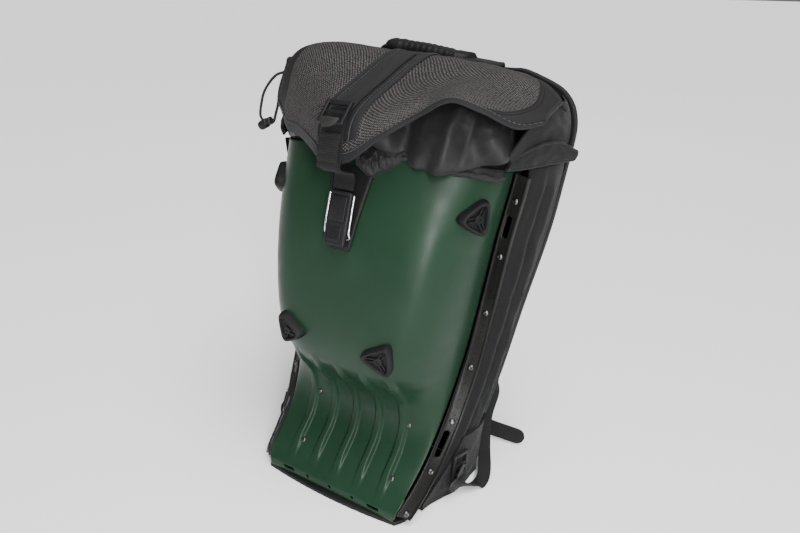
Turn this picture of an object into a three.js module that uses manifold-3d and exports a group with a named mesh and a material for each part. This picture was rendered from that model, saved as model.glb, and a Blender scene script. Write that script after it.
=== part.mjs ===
// Hard shell backpack: moulded shell and rails in front, fabric bag and pads behind, lid on top.
// Millimetres, Z up, the shell's front towards -Y, the origin at the middle of the flat base.
import * as THREE from 'three';
import { mergeVertices } from 'three/addons/utils/BufferGeometryUtils.js';
import Module from 'manifold-3d';

const wasm = await Module();
wasm.setup();

// Sizes shared by several pieces
const gap = 0.4;                // clearance between neighbouring pieces
const packDepth = 200;          // from the lip's front line to the back panel, near the top
const baseCentre = 0.34;        // share of the depth that lies over the origin
const shellHeight = 410;
const shellHalf = 140;          // half width of the shell near its top
const shellWall = 3;
const backRise = 71;            // how far the back panel stands above the shell
const backHeight = shellHeight + backRise;
const backHalf = 175;
const backThick = 12;
const clothWall = 2.4;

const yAt = share => (share - baseCentre) * packDepth;
const clamp = (value, low, high) => Math.min(Math.max(value, low), high);
const mix = (a, b, t) => a + (b - a) * t;
const ease = t => {
  const s = clamp(t, 0, 1);
  return s * s * (3 - 2 * s);
};
const vec = (x, y, z) => new THREE.Vector3(x, y, z);

// A smooth reading between the rows of a table
function rowSlope(rows, key, column, i) {
  const before = rows[Math.max(i - 1, 0)];
  const after = rows[Math.min(i + 1, rows.length - 1)];
  return (after[column] - before[column]) / (after[key] - before[key]);
}

function readTable(rows, key, column, at) {
  let i = 0;
  while (i < rows.length - 2 && at > rows[i + 1][key]) i += 1;
  const low = rows[i];
  const high = rows[i + 1];
  const span = high[key] - low[key];
  const t = clamp((at - low[key]) / span, 0, 1);
  const startSlope = rowSlope(rows, key, column, i) * span;
  const endSlope = rowSlope(rows, key, column, i + 1) * span;
  const t2 = t * t;
  const t3 = t2 * t;
  return low[column] * (2 * t3 - 3 * t2 + 1) + startSlope * (t3 - 2 * t2 + t)
    + high[column] * (3 * t2 - 2 * t3) + endSlope * (t3 - t2);
}

// Turns a geometry right side out and drops what the solid does not need
function tidy(geometry) {
  geometry.deleteAttribute('normal');
  geometry.deleteAttribute('uv');
  const merged = mergeVertices(geometry, 1e-3);
  const position = merged.attributes.position;
  const index = merged.index;
  const a = vec(0, 0, 0);
  const b = vec(0, 0, 0);
  const c = vec(0, 0, 0);
  let volume = 0;
  for (let i = 0; i < index.count; i += 3) {
    a.fromBufferAttribute(position, index.getX(i));
    b.fromBufferAttribute(position, index.getX(i + 1));
    c.fromBufferAttribute(position, index.getX(i + 2));
    volume += a.dot(b.cross(c));
  }
  if (volume < 0) {
    for (let i = 0; i < index.count; i += 3) {
      const first = index.getX(i);
      index.setX(i, index.getX(i + 2));
      index.setX(i + 2, first);
    }
  }
  return merged;
}

// A wall bent from a flat slab: place(u, v, w) gives the point, w runs through the thickness
function wall(us, vs, place) {
  const cols = us.length - 1;
  const rows = vs.length - 1;
  const slab = new THREE.BoxGeometry(1, 1, 1, cols, rows, 1);
  const position = slab.attributes.position;
  for (let i = 0; i < position.count; i += 1) {
    const u = us[Math.round((position.getX(i) + 0.5) * cols)];
    const v = vs[Math.round((position.getY(i) + 0.5) * rows)];
    const w = position.getZ(i) + 0.5;
    const point = place(u, v, w);
    position.setXYZ(i, point.x, point.y, point.z);
  }
  return tidy(slab);
}

// A closed ring: around and across both run from 0 to 1 and close on themselves
function ring(aroundSteps, acrossSteps, place) {
  const torus = new THREE.TorusGeometry(2, 1, acrossSteps, aroundSteps);
  const position = torus.attributes.position;
  const uv = torus.attributes.uv;
  for (let i = 0; i < position.count; i += 1) {
    const around = Math.round(uv.getX(i) * aroundSteps) % aroundSteps;
    const across = Math.round(uv.getY(i) * acrossSteps) % acrossSteps;
    const point = place(around / aroundSteps, across / acrossSteps);
    position.setXYZ(i, point.x, point.y, point.z);
  }
  return tidy(torus);
}

function evenly(count, low = 0, high = 1) {
  return Array.from({ length: count + 1 }, (_, i) => mix(low, high, i / count));
}

// A flat strap along a curve; side(t) gives its width direction
function ribbon(curve, steps, width, thick, side) {
  return wall([-0.5, 0.5], evenly(steps), (u, v, w) => {
    const along = curve.getTangentAt(v);
    const across = side(v).clone();
    across.addScaledVector(along, -across.dot(along)).normalize();
    const out = vec(0, 0, 0).crossVectors(across, along);
    return curve.getPointAt(v).addScaledVector(across, u * width(v)).addScaledVector(out, (w - 0.5) * thick);
  });
}

function tube(points, diameter, steps, sides = 8) {
  const circle = new THREE.Shape(Array.from({ length: sides }, (_, i) => {
    const turn = (i / sides) * Math.PI * 2;
    return new THREE.Vector2(Math.cos(turn) * diameter / 2, Math.sin(turn) * diameter / 2);
  }));
  const path = new THREE.CatmullRomCurve3(points);
  return tidy(new THREE.ExtrudeGeometry(circle, { steps, bevelEnabled: false, extrudePath: path }));
}

function toSolid(geometry) {
  const plain = tidy(geometry.clone());
  return new wasm.Manifold(new wasm.Mesh({
    numProp: 3,
    vertProperties: new Float32Array(plain.attributes.position.array),
    triVerts: new Uint32Array(plain.index.array),
  }));
}

function fromSolid(solid) {
  const mesh = solid.getMesh();
  const geometry = new THREE.BufferGeometry();
  geometry.setAttribute('position', new THREE.BufferAttribute(new Float32Array(mesh.vertProperties), 3));
  geometry.setIndex(new THREE.BufferAttribute(new Uint32Array(mesh.triVerts), 1));
  return geometry;
}

// Places a geometry that was drawn in the XY plane: right, up and out are its new axes
function placed(geometry, centre, right, out) {
  const z = out.clone().normalize();
  const x = right.clone().addScaledVector(z, -right.dot(z)).normalize();
  const y = vec(0, 0, 0).crossVectors(z, x);
  const move = new THREE.Matrix4().makeBasis(x, y, z).setPosition(centre);
  return geometry.clone().applyMatrix4(move);
}

// Materials
function paint(colour, roughness, metalness = 0) {
  return new THREE.MeshStandardMaterial({ color: colour, roughness, metalness });
}
const looks = {
  shell: () => paint('#2d4a36', 0.55),
  rail: () => paint('#1c1b1b', 0.4),
  rubber: () => paint('#1d1d1e', 0.7),
  cloth: () => paint('#2b2b2d', 0.9),
  nylon: () => paint('#37363a', 0.6),
  mesh: () => paint('#4b484b', 0.9),
  webbing: () => paint('#242426', 0.85),
  buckle: () => paint('#232325', 0.45),
  tab: () => paint('#8b8c8a', 0.5),
  steel: () => paint('#b9bcc0', 0.25, 1),
  screw: () => paint('#3a3a3c', 0.35, 0.8),
};

const pack = new THREE.Group();
pack.name = 'hard_shell_backpack';
function add(name, geometry, look) {
  const mesh = new THREE.Mesh(tidy(geometry.clone()), looks[look]());
  mesh.name = name;
  pack.add(mesh);
}

// Shell
// Each row is a level: height of shellHeight, half width of shellHalf, front and edge of packDepth,
// square is how flat the front stays before it turns back
const shellRows = [
  { height: 0.015, half: 0.645, front: -0.045, edge: -0.045, square: 6 },
  { height: 0.040, half: 0.650, front: -0.035, edge: -0.040, square: 6 },
  { height: 0.060, half: 0.670, front: 0.010, edge: 0.000, square: 6 },
  { height: 0.100, half: 0.695, front: 0.088, edge: 0.108, square: 6 },
  { height: 0.150, half: 0.715, front: 0.195, edge: 0.220, square: 6 },
  { height: 0.190, half: 0.730, front: 0.240, edge: 0.280, square: 5 },
  { height: 0.230, half: 0.745, front: 0.260, edge: 0.330, square: 5 },
  { height: 0.270, half: 0.757, front: 0.250, edge: 0.380, square: 4.4 },
  { height: 0.310, half: 0.767, front: 0.220, edge: 0.425, square: 3.8 },
  { height: 0.345, half: 0.776, front: 0.165, edge: 0.465, square: 3.4 },
  { height: 0.380, half: 0.786, front: 0.100, edge: 0.495, square: 3.4 },
  { height: 0.420, half: 0.800, front: 0.055, edge: 0.525, square: 3.8 },
  { height: 0.515, half: 0.830, front: 0.025, edge: 0.575, square: 5 },
  { height: 0.650, half: 0.875, front: 0.060, edge: 0.615, square: 5.4 },
  { height: 0.800, half: 0.932, front: 0.125, edge: 0.638, square: 4.4 },
  { height: 0.940, half: 1.000, front: 0.225, edge: 0.640, square: 2.7 },
  { height: 1.000, half: 1.020, front: 0.285, edge: 0.645, square: 2.3 },
];
const shellLevels = [0.015, 0.04, 0.06, 0.09, 0.13, 0.18, 0.23, 0.275, 0.32, 0.355, 0.39,
  0.44, 0.52, 0.62, 0.74, 0.87, 1];
const ribPitch = 32.5;
const ribSides = 2;             // ribs on each side of the middle one
const ribCrest = 2;             // half width of a rib's flat top
const ribFoot = 10;             // half width of a rib at its foot
const ribHeight = 5;
const ribFrom = 0.055;          // share of the shell's height where the ribs begin and end
const ribTo = 0.43;
const ribFade = 0.07;
const coveHalf = 80;            // half width of the recess
const rimDrop = 0.045;          // how far the rim falls at its sides, as a share of the height

function shellColumns() {
  const inner = [ribCrest, ribFoot, ribPitch / 2];
  for (let rib = 1; rib <= ribSides; rib += 1) {
    for (const step of [-ribFoot, -ribCrest, ribCrest, ribFoot]) inner.push(rib * ribPitch + step);
    if (rib < ribSides) inner.push((rib + 0.5) * ribPitch);
  }
  inner.push(coveHalf);
  const right = inner.map(x => ({ x, out: 0 }));
  for (const out of [0.35, 0.66, 0.88, 1]) right.push({ x: coveHalf, out });
  const left = right.map(({ x, out }) => ({ x: -x, out })).reverse();
  return [...left, ...right];
}

function ribLift(x, height) {
  const fade = ease((height - ribFrom) / ribFade) * ease((ribTo - height) / ribFade);
  const nearest = clamp(Math.round(x / ribPitch), -ribSides, ribSides) * ribPitch;
  const away = Math.abs(x - nearest);
  return ribHeight * fade * (1 - ease((away - ribCrest) / (ribFoot - ribCrest)));
}

// A point of the shell's outer face; column is { x, out }
function shellFace(column, height) {
  const half = shellHalf * readTable(shellRows, 'height', 'half', height);
  const x = Math.abs(column.x) + (half - Math.abs(column.x)) * column.out;
  const front = readTable(shellRows, 'height', 'front', height);
  const edge = readTable(shellRows, 'height', 'edge', height);
  const square = readTable(shellRows, 'height', 'square', height);
  const share = Math.min(x / half, 1);
  const turn = 1 - Math.sqrt(1 - share ** square);
  const drop = rimDrop * share ** 2 * height ** 6;
  return vec(Math.sign(column.x) * x, yAt(mix(front, edge, turn)), shellHeight * height * (1 - drop));
}

function shellPoint(column, height, depth) {
  const step = 0.004;
  const side = Math.sign(column.x);
  const atEdge = column.out > 1 - step;
  const inward = atEdge ? { x: column.x, out: column.out - step * 4 } : column;
  const outward = atEdge ? column : { x: column.x + side * 0.3, out: column.out };
  const across = shellFace(outward, height).sub(shellFace(inward, height)).multiplyScalar(side);
  const above = shellFace(column, Math.min(height + step, 1));
  const up = above.sub(shellFace(column, Math.max(height - step, shellRows[0].height)));
  const out = vec(0, 0, 0).crossVectors(across, up).normalize();
  const raised = ribLift(column.x * (1 - column.out), height);
  return shellFace(column, height).addScaledVector(out, raised - depth);
}

const lipSlot = { length: 17, height: 4, away: 62 };
const lipHole = { diameter: 4.5, spacing: 33 };
const lipLevel = 12;            // height of the slots and holes above the floor

function cutter(width, height, depth, centre, right, out) {
  const box = new THREE.BoxGeometry(width, height, depth);
  return toSolid(placed(box, centre, right, out));
}

function shell() {
  const columns = shellColumns();
  const body = wall(evenly(columns.length - 1), shellLevels, (u, v, w) => {
    const column = columns[Math.round(u * (columns.length - 1))];
    return shellPoint(column, v, (1 - w) * shellWall);
  });
  let solid = toSolid(body);
  const lipFront = yAt(shellRows[0].front);
  const through = shellWall * 8;
  for (const side of [-1, 1]) {
    solid = solid.subtract(cutter(lipSlot.length, lipSlot.height, through,
      vec(side * lipSlot.away, lipFront, lipLevel), vec(1, 0, 0), vec(0, -1, 0)));
  }
  for (const place of [-1, 0, 1]) {
    const drill = new THREE.CylinderGeometry(lipHole.diameter / 2, lipHole.diameter / 2, through, 10);
    drill.translate(place * lipHole.spacing, lipFront, lipLevel);
    solid = solid.subtract(toSolid(drill));
  }
  return fromSolid(solid);
}
add('shell', shell(), 'shell');

// Rails
// Direction of the rail's width at each height of the shell
const railRows = [
  { height: 0.04, out: 0.66, back: 0.50, up: -0.56 },
  { height: 0.15, out: 0.72, back: 0.42, up: -0.52 },
  { height: 0.27, out: 0.84, back: 0.36, up: -0.32 },
  { height: 0.42, out: 0.94, back: 0.22, up: -0.05 },
  { height: 0.65, out: 0.97, back: -0.08, up: 0.12 },
  { height: 0.965, out: 0.95, back: -0.20, up: 0.24 },
];
const railWidth = 18;
const railThick = 3;
const railBead = 1.6;           // height of the raised outer edge
const railBeadShare = 0.86;
const railTop = 0.992;
const railBottom = 0.04;
const screwLevels = [0.055, 0.135, 0.255, 0.40, 0.56, 0.73, 0.905];
const screwPlace = 0.5;         // share of the rail's width
const railSlots = [{ from: 0.785, to: 0.855 }, { from: 0.165, to: 0.23 }];
const railSlotWidth = 6.5;

const edgeColumn = side => ({ x: side * coveHalf, out: 1 });

function railFrame(side, height) {
  const step = 0.006;
  const along = shellFace(edgeColumn(side), Math.min(height + step, 1))
    .sub(shellFace(edgeColumn(side), height - step)).normalize();
  const width = vec(
    side * readTable(railRows, 'height', 'out', height),
    readTable(railRows, 'height', 'back', height),
    readTable(railRows, 'height', 'up', height),
  );
  width.addScaledVector(along, -width.dot(along)).normalize();
  const front = vec(0, 0, 0).crossVectors(width, along).multiplyScalar(side).normalize();
  const start = shellFace(edgeColumn(side), height);
  start.x += side * (gap * 4 + Math.max(0, side * front.x) * railThick);
  return { start, width, front, along };
}

function railPoint(side, height, across, lift) {
  const { start, width, front } = railFrame(side, height);
  return start.addScaledVector(width, across * railWidth).addScaledVector(front, lift);
}

const railLevels = shellLevels.filter(level => level > railBottom && level < railTop);
railLevels.unshift(railBottom);
railLevels.push(railTop);

function rail(side) {
  const across = [0, railBeadShare - 0.04, railBeadShare, 1];
  const body = wall(across, railLevels, (u, v, w) => {
    const bead = u >= railBeadShare ? railBead : 0;
    return railPoint(side, v, u, w > 0.5 ? bead : -railThick);
  });
  let solid = toSolid(body);
  const deep = railThick * 3;
  const screwBore = screw.shank / 2 + gap * 2;
  for (const level of screwLevels) {
    const { front, along } = railFrame(side, level);
    const drill = new THREE.CylinderGeometry(screwBore, screwBore, deep, 6);
    drill.rotateX(Math.PI / 2);
    solid = solid.subtract(toSolid(placed(drill, railPoint(side, level, screwPlace, 0), along, front)));
  }
  for (const slot of railSlots) {
    const middle = (slot.from + slot.to) / 2;
    const { front, along } = railFrame(side, middle);
    const slotEnd = railPoint(side, slot.to, screwPlace, 0);
    const length = slotEnd.distanceTo(railPoint(side, slot.from, screwPlace, 0));
    const centre = railPoint(side, middle, 0.42, 0);
    solid = solid.subtract(cutter(length, railSlotWidth, deep * 1.5, centre, along, front));
  }
  return fromSolid(solid);
}

// A domed screw: head above the face, shank through the hole
const screw = { head: 7.5, dome: 1.8, shank: 3.6, length: 3.4 };
const screwCrown = 0.32;        // radius of the flat crown as a share of the head
const rivet = { head: 6.5, dome: 1.6, shank: 3, length: 2 };

function screwSolid(size) {
  const profile = [
    new THREE.Vector2(0, -size.length),
    new THREE.Vector2(size.shank / 2, -size.length),
    new THREE.Vector2(size.shank / 2, gap),
    new THREE.Vector2(size.head / 2, gap),
    new THREE.Vector2(size.head * screwCrown, size.dome),
    new THREE.Vector2(0, size.dome),
  ];
  const turned = new THREE.LatheGeometry(profile, 6);
  turned.rotateX(Math.PI / 2);
  return turned;
}

for (const [label, side] of [['left', -1], ['right', 1]]) {
  add(`rail_${label}`, rail(side), 'rail');
  screwLevels.forEach((level, i) => {
    const { front, along } = railFrame(side, level);
    const seat = railPoint(side, level, screwPlace, gap * 2);
    add(`rail_screw_${label}_${i + 1}`, placed(screwSolid(screw), seat, along, front), 'screw');
  });
}

// Rivets and rubber mounts on the shell
function shellFrame(x, height) {
  const reach = 2;
  const middle = shellFace({ x, out: 0 }, height);
  const across = shellFace({ x: x + reach, out: 0 }, height)
    .sub(shellFace({ x: x - reach, out: 0 }, height));
  const up = shellFace({ x, out: 0 }, height + 0.01).sub(shellFace({ x, out: 0 }, height - 0.01));
  const out = vec(0, 0, 0).crossVectors(across, up).normalize();
  return { middle, across: across.normalize(), out };
}

const rivetAcross = ribPitch * ribSides;
const rivets = [
  { x: -rivetAcross, height: 0.21 },
  { x: rivetAcross, height: 0.21 },
  { x: -rivetAcross, height: 0.085 },
  { x: rivetAcross, height: 0.085 },
];
rivets.forEach(({ x, height }, i) => {
  const { middle, across, out } = shellFrame(x, height);
  const seat = middle.addScaledVector(out, rivet.length + ribLift(x, height) + gap * 4);
  add(`shell_rivet_${i + 1}`, placed(screwSolid(rivet), seat, across, out), 'screw');
});

const mount = { corner: 19.5, flat: 12.5, round: 8, height: 8, sunk: 3.2, sink: 3, spoke: 2.4, boss: 0.24 };

// Distance from the middle to the rim of a triangle with round corners, one of them at turn 0
function triangleReach(turn) {
  const third = (Math.PI * 2) / 3;
  const fromCorner = Math.abs(turn - Math.round(turn / third) * third);
  const straight = mount.flat / Math.cos(third / 2 - fromCorner);
  return (straight ** -mount.round + mount.corner ** -mount.round) ** (-1 / mount.round);
}

function mountSolid() {
  const sides = 18;
  const floor = mount.height - mount.sunk;
  const crown = mount.height - 1;
  // from the middle of the foot, out, up the rim and back in over the sunk face to the middle boss
  const profile = [
    [0, -mount.sink],
    [1, -mount.sink],
    [1, mount.height * 0.3],
    [0.88, mount.height],
    [0.74, mount.height],
    [0.66, floor],
    [mount.boss, floor],
    [mount.boss, crown],
    [0, crown],
  ];
  const lathe = new THREE.LatheGeometry(profile.map(([share, up]) => new THREE.Vector2(share, up)), sides);
  const position = lathe.attributes.position;
  for (let i = 0; i < position.count; i += 1) {
    const share = Math.hypot(position.getX(i), position.getZ(i));
    const turn = Math.atan2(position.getX(i), position.getZ(i));
    const reach = share * mix(mount.flat * 1.2, triangleReach(turn), ease(share * 2 - 0.5));
    position.setXYZ(i, Math.sin(turn) * reach, position.getY(i), Math.cos(turn) * reach);
  }
  lathe.rotateX(Math.PI / 2);
  let solid = toSolid(lathe);
  for (let i = 0; i < 3; i += 1) {
    const spoke = new THREE.BoxGeometry(mount.spoke, mount.corner * 0.56, mount.sunk);
    spoke.translate(0, -mount.corner * 0.44, mount.height - mount.sunk * 0.75);
    spoke.rotateZ((i / 3) * Math.PI * 2);
    solid = solid.add(toSolid(spoke));
  }
  return fromSolid(solid);
}

const mounts = [
  { name: 'mount_lower_left', side: -1, across: 0.43, height: 0.492 },
  { name: 'mount_lower_right', side: 1, across: 0.43, height: 0.492 },
  { name: 'mount_upper_left', side: -1, across: 0.886, height: 0.868 },
  { name: 'mount_upper_right', side: 1, across: 0.886, height: 0.868 },
];
const mountSpread = 24;         // half width of the part of the shell that a mount's foot is fitted to

for (const { name, side, across: share, height } of mounts) {
  const x = share * shellHalf;
  const { middle, across, out } = shellFrame(side * x, height);
  const body = mountSolid();
  body.rotateZ(-side * Math.PI / 2);
  const raised = toSolid(placed(body, middle, across, out));
  const under = wall(evenly(5), evenly(4), (u, v, w) => {
    const level = height + (v - 0.5) * 2 * mountSpread / shellHeight;
    const half = shellHalf * readTable(shellRows, 'height', 'half', level);
    const at = Math.min(x + (u - 0.5) * 2 * mountSpread, half * 0.998);
    const face = shellPoint({ x: side * at, out: 0 }, level, 0);
    return face.addScaledVector(out, w > 0.5 ? gap * 3 : -mountSpread);
  });
  add(name, fromSolid(raised.subtract(toSolid(under))), 'rubber');
}

// Base
const baseThick = 5.4;
const baseBow = 0.03;           // how far the foot's front bows forward, as a share of the depth
const baseRows = [
  { back: -0.04, half: 0.66 },
  { back: 0.02, half: 0.71 },
  { back: 0.15, half: 0.735 },
  { back: 0.45, half: 0.765 },
  { back: 0.62, half: 0.76 },
  { back: 0.67, half: 0.70 },
];

function base() {
  const outline = new THREE.Shape();
  const sides = evenly(10, baseRows[0].back, baseRows.at(-1).back).map(back => ({
    x: shellHalf * readTable(baseRows, 'back', 'half', back),
    y: yAt(back),
  }));
  const front = evenly(8, -1, 1).slice(1, -1).map(t => ({
    x: t * sides[0].x,
    y: sides[0].y - baseBow * packDepth * (1 - t * t),
  }));
  const loop = [...front, ...sides, ...sides.map(({ x, y }) => ({ x: -x, y })).reverse()];
  outline.setFromPoints(loop.map(({ x, y }) => new THREE.Vector2(x, y)));
  return new THREE.ExtrudeGeometry(outline, { depth: baseThick, bevelEnabled: false });
}
add('base', base(), 'rubber');

// Back panel
// Rows: height of backHeight, half width of backHalf, back of packDepth
const backRows = [
  { height: 0.013, half: 0.63, back: 0.665 },
  { height: 0.16, half: 0.715, back: 0.73 },
  { height: 0.30, half: 0.79, back: 0.785 },
  { height: 0.45, half: 0.855, back: 0.845 },
  { height: 0.65, half: 0.945, back: 0.945 },
  { height: 0.80, half: 0.985, back: 1.01 },
  { height: 0.88, half: 1.00, back: 1.045 },
  { height: 0.92, half: 0.98, back: 1.055 },
  { height: 0.95, half: 0.93, back: 1.065 },
  { height: 0.975, half: 0.83, back: 1.075 },
  { height: 1.00, half: 0.62, back: 1.08 },
];
const backLevels = [0.013, 0.08, 0.16, 0.23, 0.30, 0.45, 0.55, 0.65, 0.80, 0.88, 0.92, 0.95, 0.975, 1];
const backSpine = 4;            // how far the middle of the panel is hollowed towards the front

function backFace(share, height, depth) {
  const half = backHalf * readTable(backRows, 'height', 'half', height);
  const hollow = backSpine * (1 - share ** 2);
  const y = yAt(readTable(backRows, 'height', 'back', height)) - hollow * (depth > 0 ? 1 : 0) + depth;
  return vec(share * half, y, backHeight * height);
}

function backPanel() {
  const across = [-1, -0.97, -0.8, -0.45, 0, 0.45, 0.8, 0.97, 1];
  return wall(across, backLevels, (u, v, w) => {
    const thin = Math.abs(u) > 0.99 ? 0.55 : 1;
    return backFace(u, v, w > 0.5 ? 0 : backThick * thin);
  });
}
add('back_panel', backPanel(), 'cloth');

// Gussets
const gussetBulge = 9;
const gussetTop = 0.968;
const gussetLevels = [railBottom, 0.09, 0.18, 0.275, 0.355, 0.44, 0.52, 0.62, 0.74, 0.87, railTop];
const gussetInset = 0.72;       // share of the rail's width that lies over the gusset's front edge

function gussetPoint(side, height, share, depth) {
  const { front } = railFrame(side, height);
  const start = railPoint(side, height, gussetInset, -railThick - gap * 6).addScaledVector(front, -depth * 0.2);
  const level = start.z / backHeight;
  const end = backFace(side * 0.985, clamp(level, backRows[0].height, 1), 0);
  end.y -= gap * 2;
  const point = start.clone().lerp(end, share);
  point.x += side * (gussetBulge * Math.sin(share * Math.PI) ** 0.8 * ease(level * 6) - depth);
  point.z = start.z;
  if (height <= railBottom) point.z = baseThick + gap;
  if (height >= railTop) point.z = gussetTop * shellHeight;
  return point;
}

for (const [label, side] of [['left', -1], ['right', 1]]) {
  const body = wall([0, 0.2, 0.5, 0.8, 1], gussetLevels, (u, v, w) => {
    return gussetPoint(side, v, u, w > 0.5 ? 0 : clothWall);
  });
  add(`gusset_${label}`, body, 'cloth');
}

// Lid
// Each row is a section across the lid: at is its place (share of lidHalf); back, crest, mid, brow and
// hem are points from the rear edge to the front one, Y of packDepth and Z of lidRise above lidBase
const lidHalf = 176;
const lidDrop = 10;             // how far the lid's lowest level lies under the shell's rim
const lidBase = shellHeight - lidDrop;
const lidRise = 100;
const lidThick = 3;
const lidRows = [
  { at: -1.00, backY: 0.88, backZ: 0.66, crestY: 0.78, crestZ: 0.78, midY: 0.72, midZ: 0.62,
    browY: 0.67, browZ: 0.44, hemY: 0.65, hemZ: 0.28 },
  { at: -0.85, backY: 0.96, backZ: 0.84, crestY: 0.78, crestZ: 0.94, midY: 0.64, midZ: 0.78,
    browY: 0.57, browZ: 0.50, hemY: 0.54, hemZ: 0.20 },
  { at: -0.68, backY: 1.00, backZ: 0.84, crestY: 0.78, crestZ: 1.01, midY: 0.58, midZ: 0.83,
    browY: 0.46, browZ: 0.50, hemY: 0.40, hemZ: 0.12 },
  { at: -0.48, backY: 1.01, backZ: 0.82, crestY: 0.79, crestZ: 1.01, midY: 0.53, midZ: 0.82,
    browY: 0.36, browZ: 0.50, hemY: 0.29, hemZ: 0.13 },
  { at: -0.26, backY: 1.01, backZ: 0.81, crestY: 0.80, crestZ: 0.98, midY: 0.48, midZ: 0.79,
    browY: 0.22, browZ: 0.49, hemY: 0.15, hemZ: 0.10 },
  { at: -0.085, backY: 1.01, backZ: 0.80, crestY: 0.79, crestZ: 0.96, midY: 0.44, midZ: 0.74,
    browY: 0.13, browZ: 0.46, hemY: 0.05, hemZ: 0.05 },
  { at: 0.085, backY: 1.01, backZ: 0.80, crestY: 0.79, crestZ: 0.95, midY: 0.43, midZ: 0.73,
    browY: 0.12, browZ: 0.46, hemY: 0.05, hemZ: 0.06 },
  { at: 0.26, backY: 1.01, backZ: 0.80, crestY: 0.78, crestZ: 0.94, midY: 0.42, midZ: 0.74,
    browY: 0.16, browZ: 0.54, hemY: 0.085, hemZ: 0.29 },
  { at: 0.43, backY: 1.01, backZ: 0.80, crestY: 0.76, crestZ: 0.92, midY: 0.44, midZ: 0.78,
    browY: 0.25, browZ: 0.66, hemY: 0.18, hemZ: 0.51 },
  { at: 0.60, backY: 1.00, backZ: 0.78, crestY: 0.76, crestZ: 0.89, midY: 0.48, midZ: 0.82,
    browY: 0.29, browZ: 0.76, hemY: 0.22, hemZ: 0.69 },
  { at: 0.77, backY: 0.97, backZ: 0.76, crestY: 0.76, crestZ: 0.83, midY: 0.51, midZ: 0.77,
    browY: 0.34, browZ: 0.70, hemY: 0.28, hemZ: 0.61 },
  { at: 0.91, backY: 0.92, backZ: 0.65, crestY: 0.76, crestZ: 0.72, midY: 0.58, midZ: 0.65,
    browY: 0.46, browZ: 0.57, hemY: 0.42, hemZ: 0.45 },
  { at: 1.00, backY: 0.88, backZ: 0.50, crestY: 0.78, crestZ: 0.60, midY: 0.68, midZ: 0.57,
    browY: 0.59, browZ: 0.53, hemY: 0.56, hemZ: 0.47 },
];
const lidFolds = ['back', 'crest', 'mid', 'brow', 'hem'];
const lidColumns = [-1, -0.94, -0.84, -0.7, -0.54, -0.4, -0.26, -0.14, -0.07, 0,
  0.07, 0.14, 0.26, 0.4, 0.54, 0.68, 0.82, 0.92, 1];
const lidSteps = evenly(9);

function lidLine(share) {
  const points = lidFolds.map(fold => vec(
    share * lidHalf,
    yAt(readTable(lidRows, 'at', `${fold}Y`, share)),
    lidBase + lidRise * readTable(lidRows, 'at', `${fold}Z`, share),
  ));
  return new THREE.CatmullRomCurve3(points);
}

// A point of the lid's upper face, raised by lift along the way it faces
function lidPoint(share, along, lift) {
  const step = 0.02;
  const low = clamp(share - step, -1, 1);
  const high = clamp(share + step, -1, 1);
  const across = lidLine(high).getPoint(along).sub(lidLine(low).getPoint(along));
  const line = lidLine(share);
  const down = line.getPoint(Math.min(along + step, 1)).sub(line.getPoint(Math.max(along - step, 0)));
  const out = vec(0, 0, 0).crossVectors(down, across).normalize();
  return line.getPoint(along).addScaledVector(out, lift);
}

add('lid', wall(lidColumns, lidSteps, (u, v, w) => lidPoint(u, v, (w - 1) * lidThick)), 'mesh');

const bandThick = 1.2;
const bandShare = 0.14;
const bandColumns = [-bandShare, -0.07, 0, 0.07, bandShare];
const bandLift = gap * 1.5;
const lidBand = wall(bandColumns, lidSteps.slice(1, -1), (u, v, w) => {
  return lidPoint(u, v, bandLift + w * bandThick);
});
add('lid_band', lidBand, 'cloth');

// Strap down the middle of the lid, its buckle and loose tail, and the catch on the shell
const strapWidth = 25;
const strapThick = 1.8;
const strapLift = bandLift + bandThick + 0.9;
const acrossAxis = vec(1, 0, 0);
const always = value => () => value;
const hookFrame = shellFrame(0, 0.83);
const hookUp = vec(0, 0, 0).crossVectors(hookFrame.out, hookFrame.across);
const onHook = (up, lift) => hookFrame.middle.clone().addScaledVector(hookUp, up).addScaledVector(hookFrame.out, lift);

const tab = { topHalf: 27, footHalf: 13, up: 52, down: 34, thick: 3 };
const hook = { width: 26, up: 27, down: 30, thick: 6.5, lift: 7.2 };
const wire = { diameter: 2.4, up: 24, down: 20, under: 5.6 };

// The strap follows the lid to its hem, then hangs to the catch
const strapOnLid = 10;          // steps on the lid
const strapFree = 7;            // steps below the hem
const strapFrom = 0.3;          // where it comes out from behind the band, as a share of the lid's length
const strapHang = new THREE.CatmullRomCurve3([
  lidPoint(0, 1, strapLift),
  lidPoint(0, 1, strapLift).add(vec(0, 2, -9)),
  onHook(hook.up * 1.7, hook.lift * 2),
  onHook(hook.up + 2, hook.lift + hook.thick * 0.5),
]);
add('lid_strap', wall([-0.5, 0, 0.5], evenly(strapOnLid + strapFree), (u, v, w) => {
  const step = Math.round(v * (strapOnLid + strapFree));
  if (step <= strapOnLid) {
    const along = mix(strapFrom, 1, step / strapOnLid);
    return lidPoint((u * strapWidth) / lidHalf, along, strapLift + w * strapThick);
  }
  const t = (step - strapOnLid) / strapFree;
  const out = vec(0, 0, 0).crossVectors(strapHang.getTangent(t), acrossAxis).normalize();
  return strapHang.getPoint(t).addScaledVector(acrossAxis, u * strapWidth).addScaledVector(out, w * strapThick);
}), 'webbing');

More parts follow.
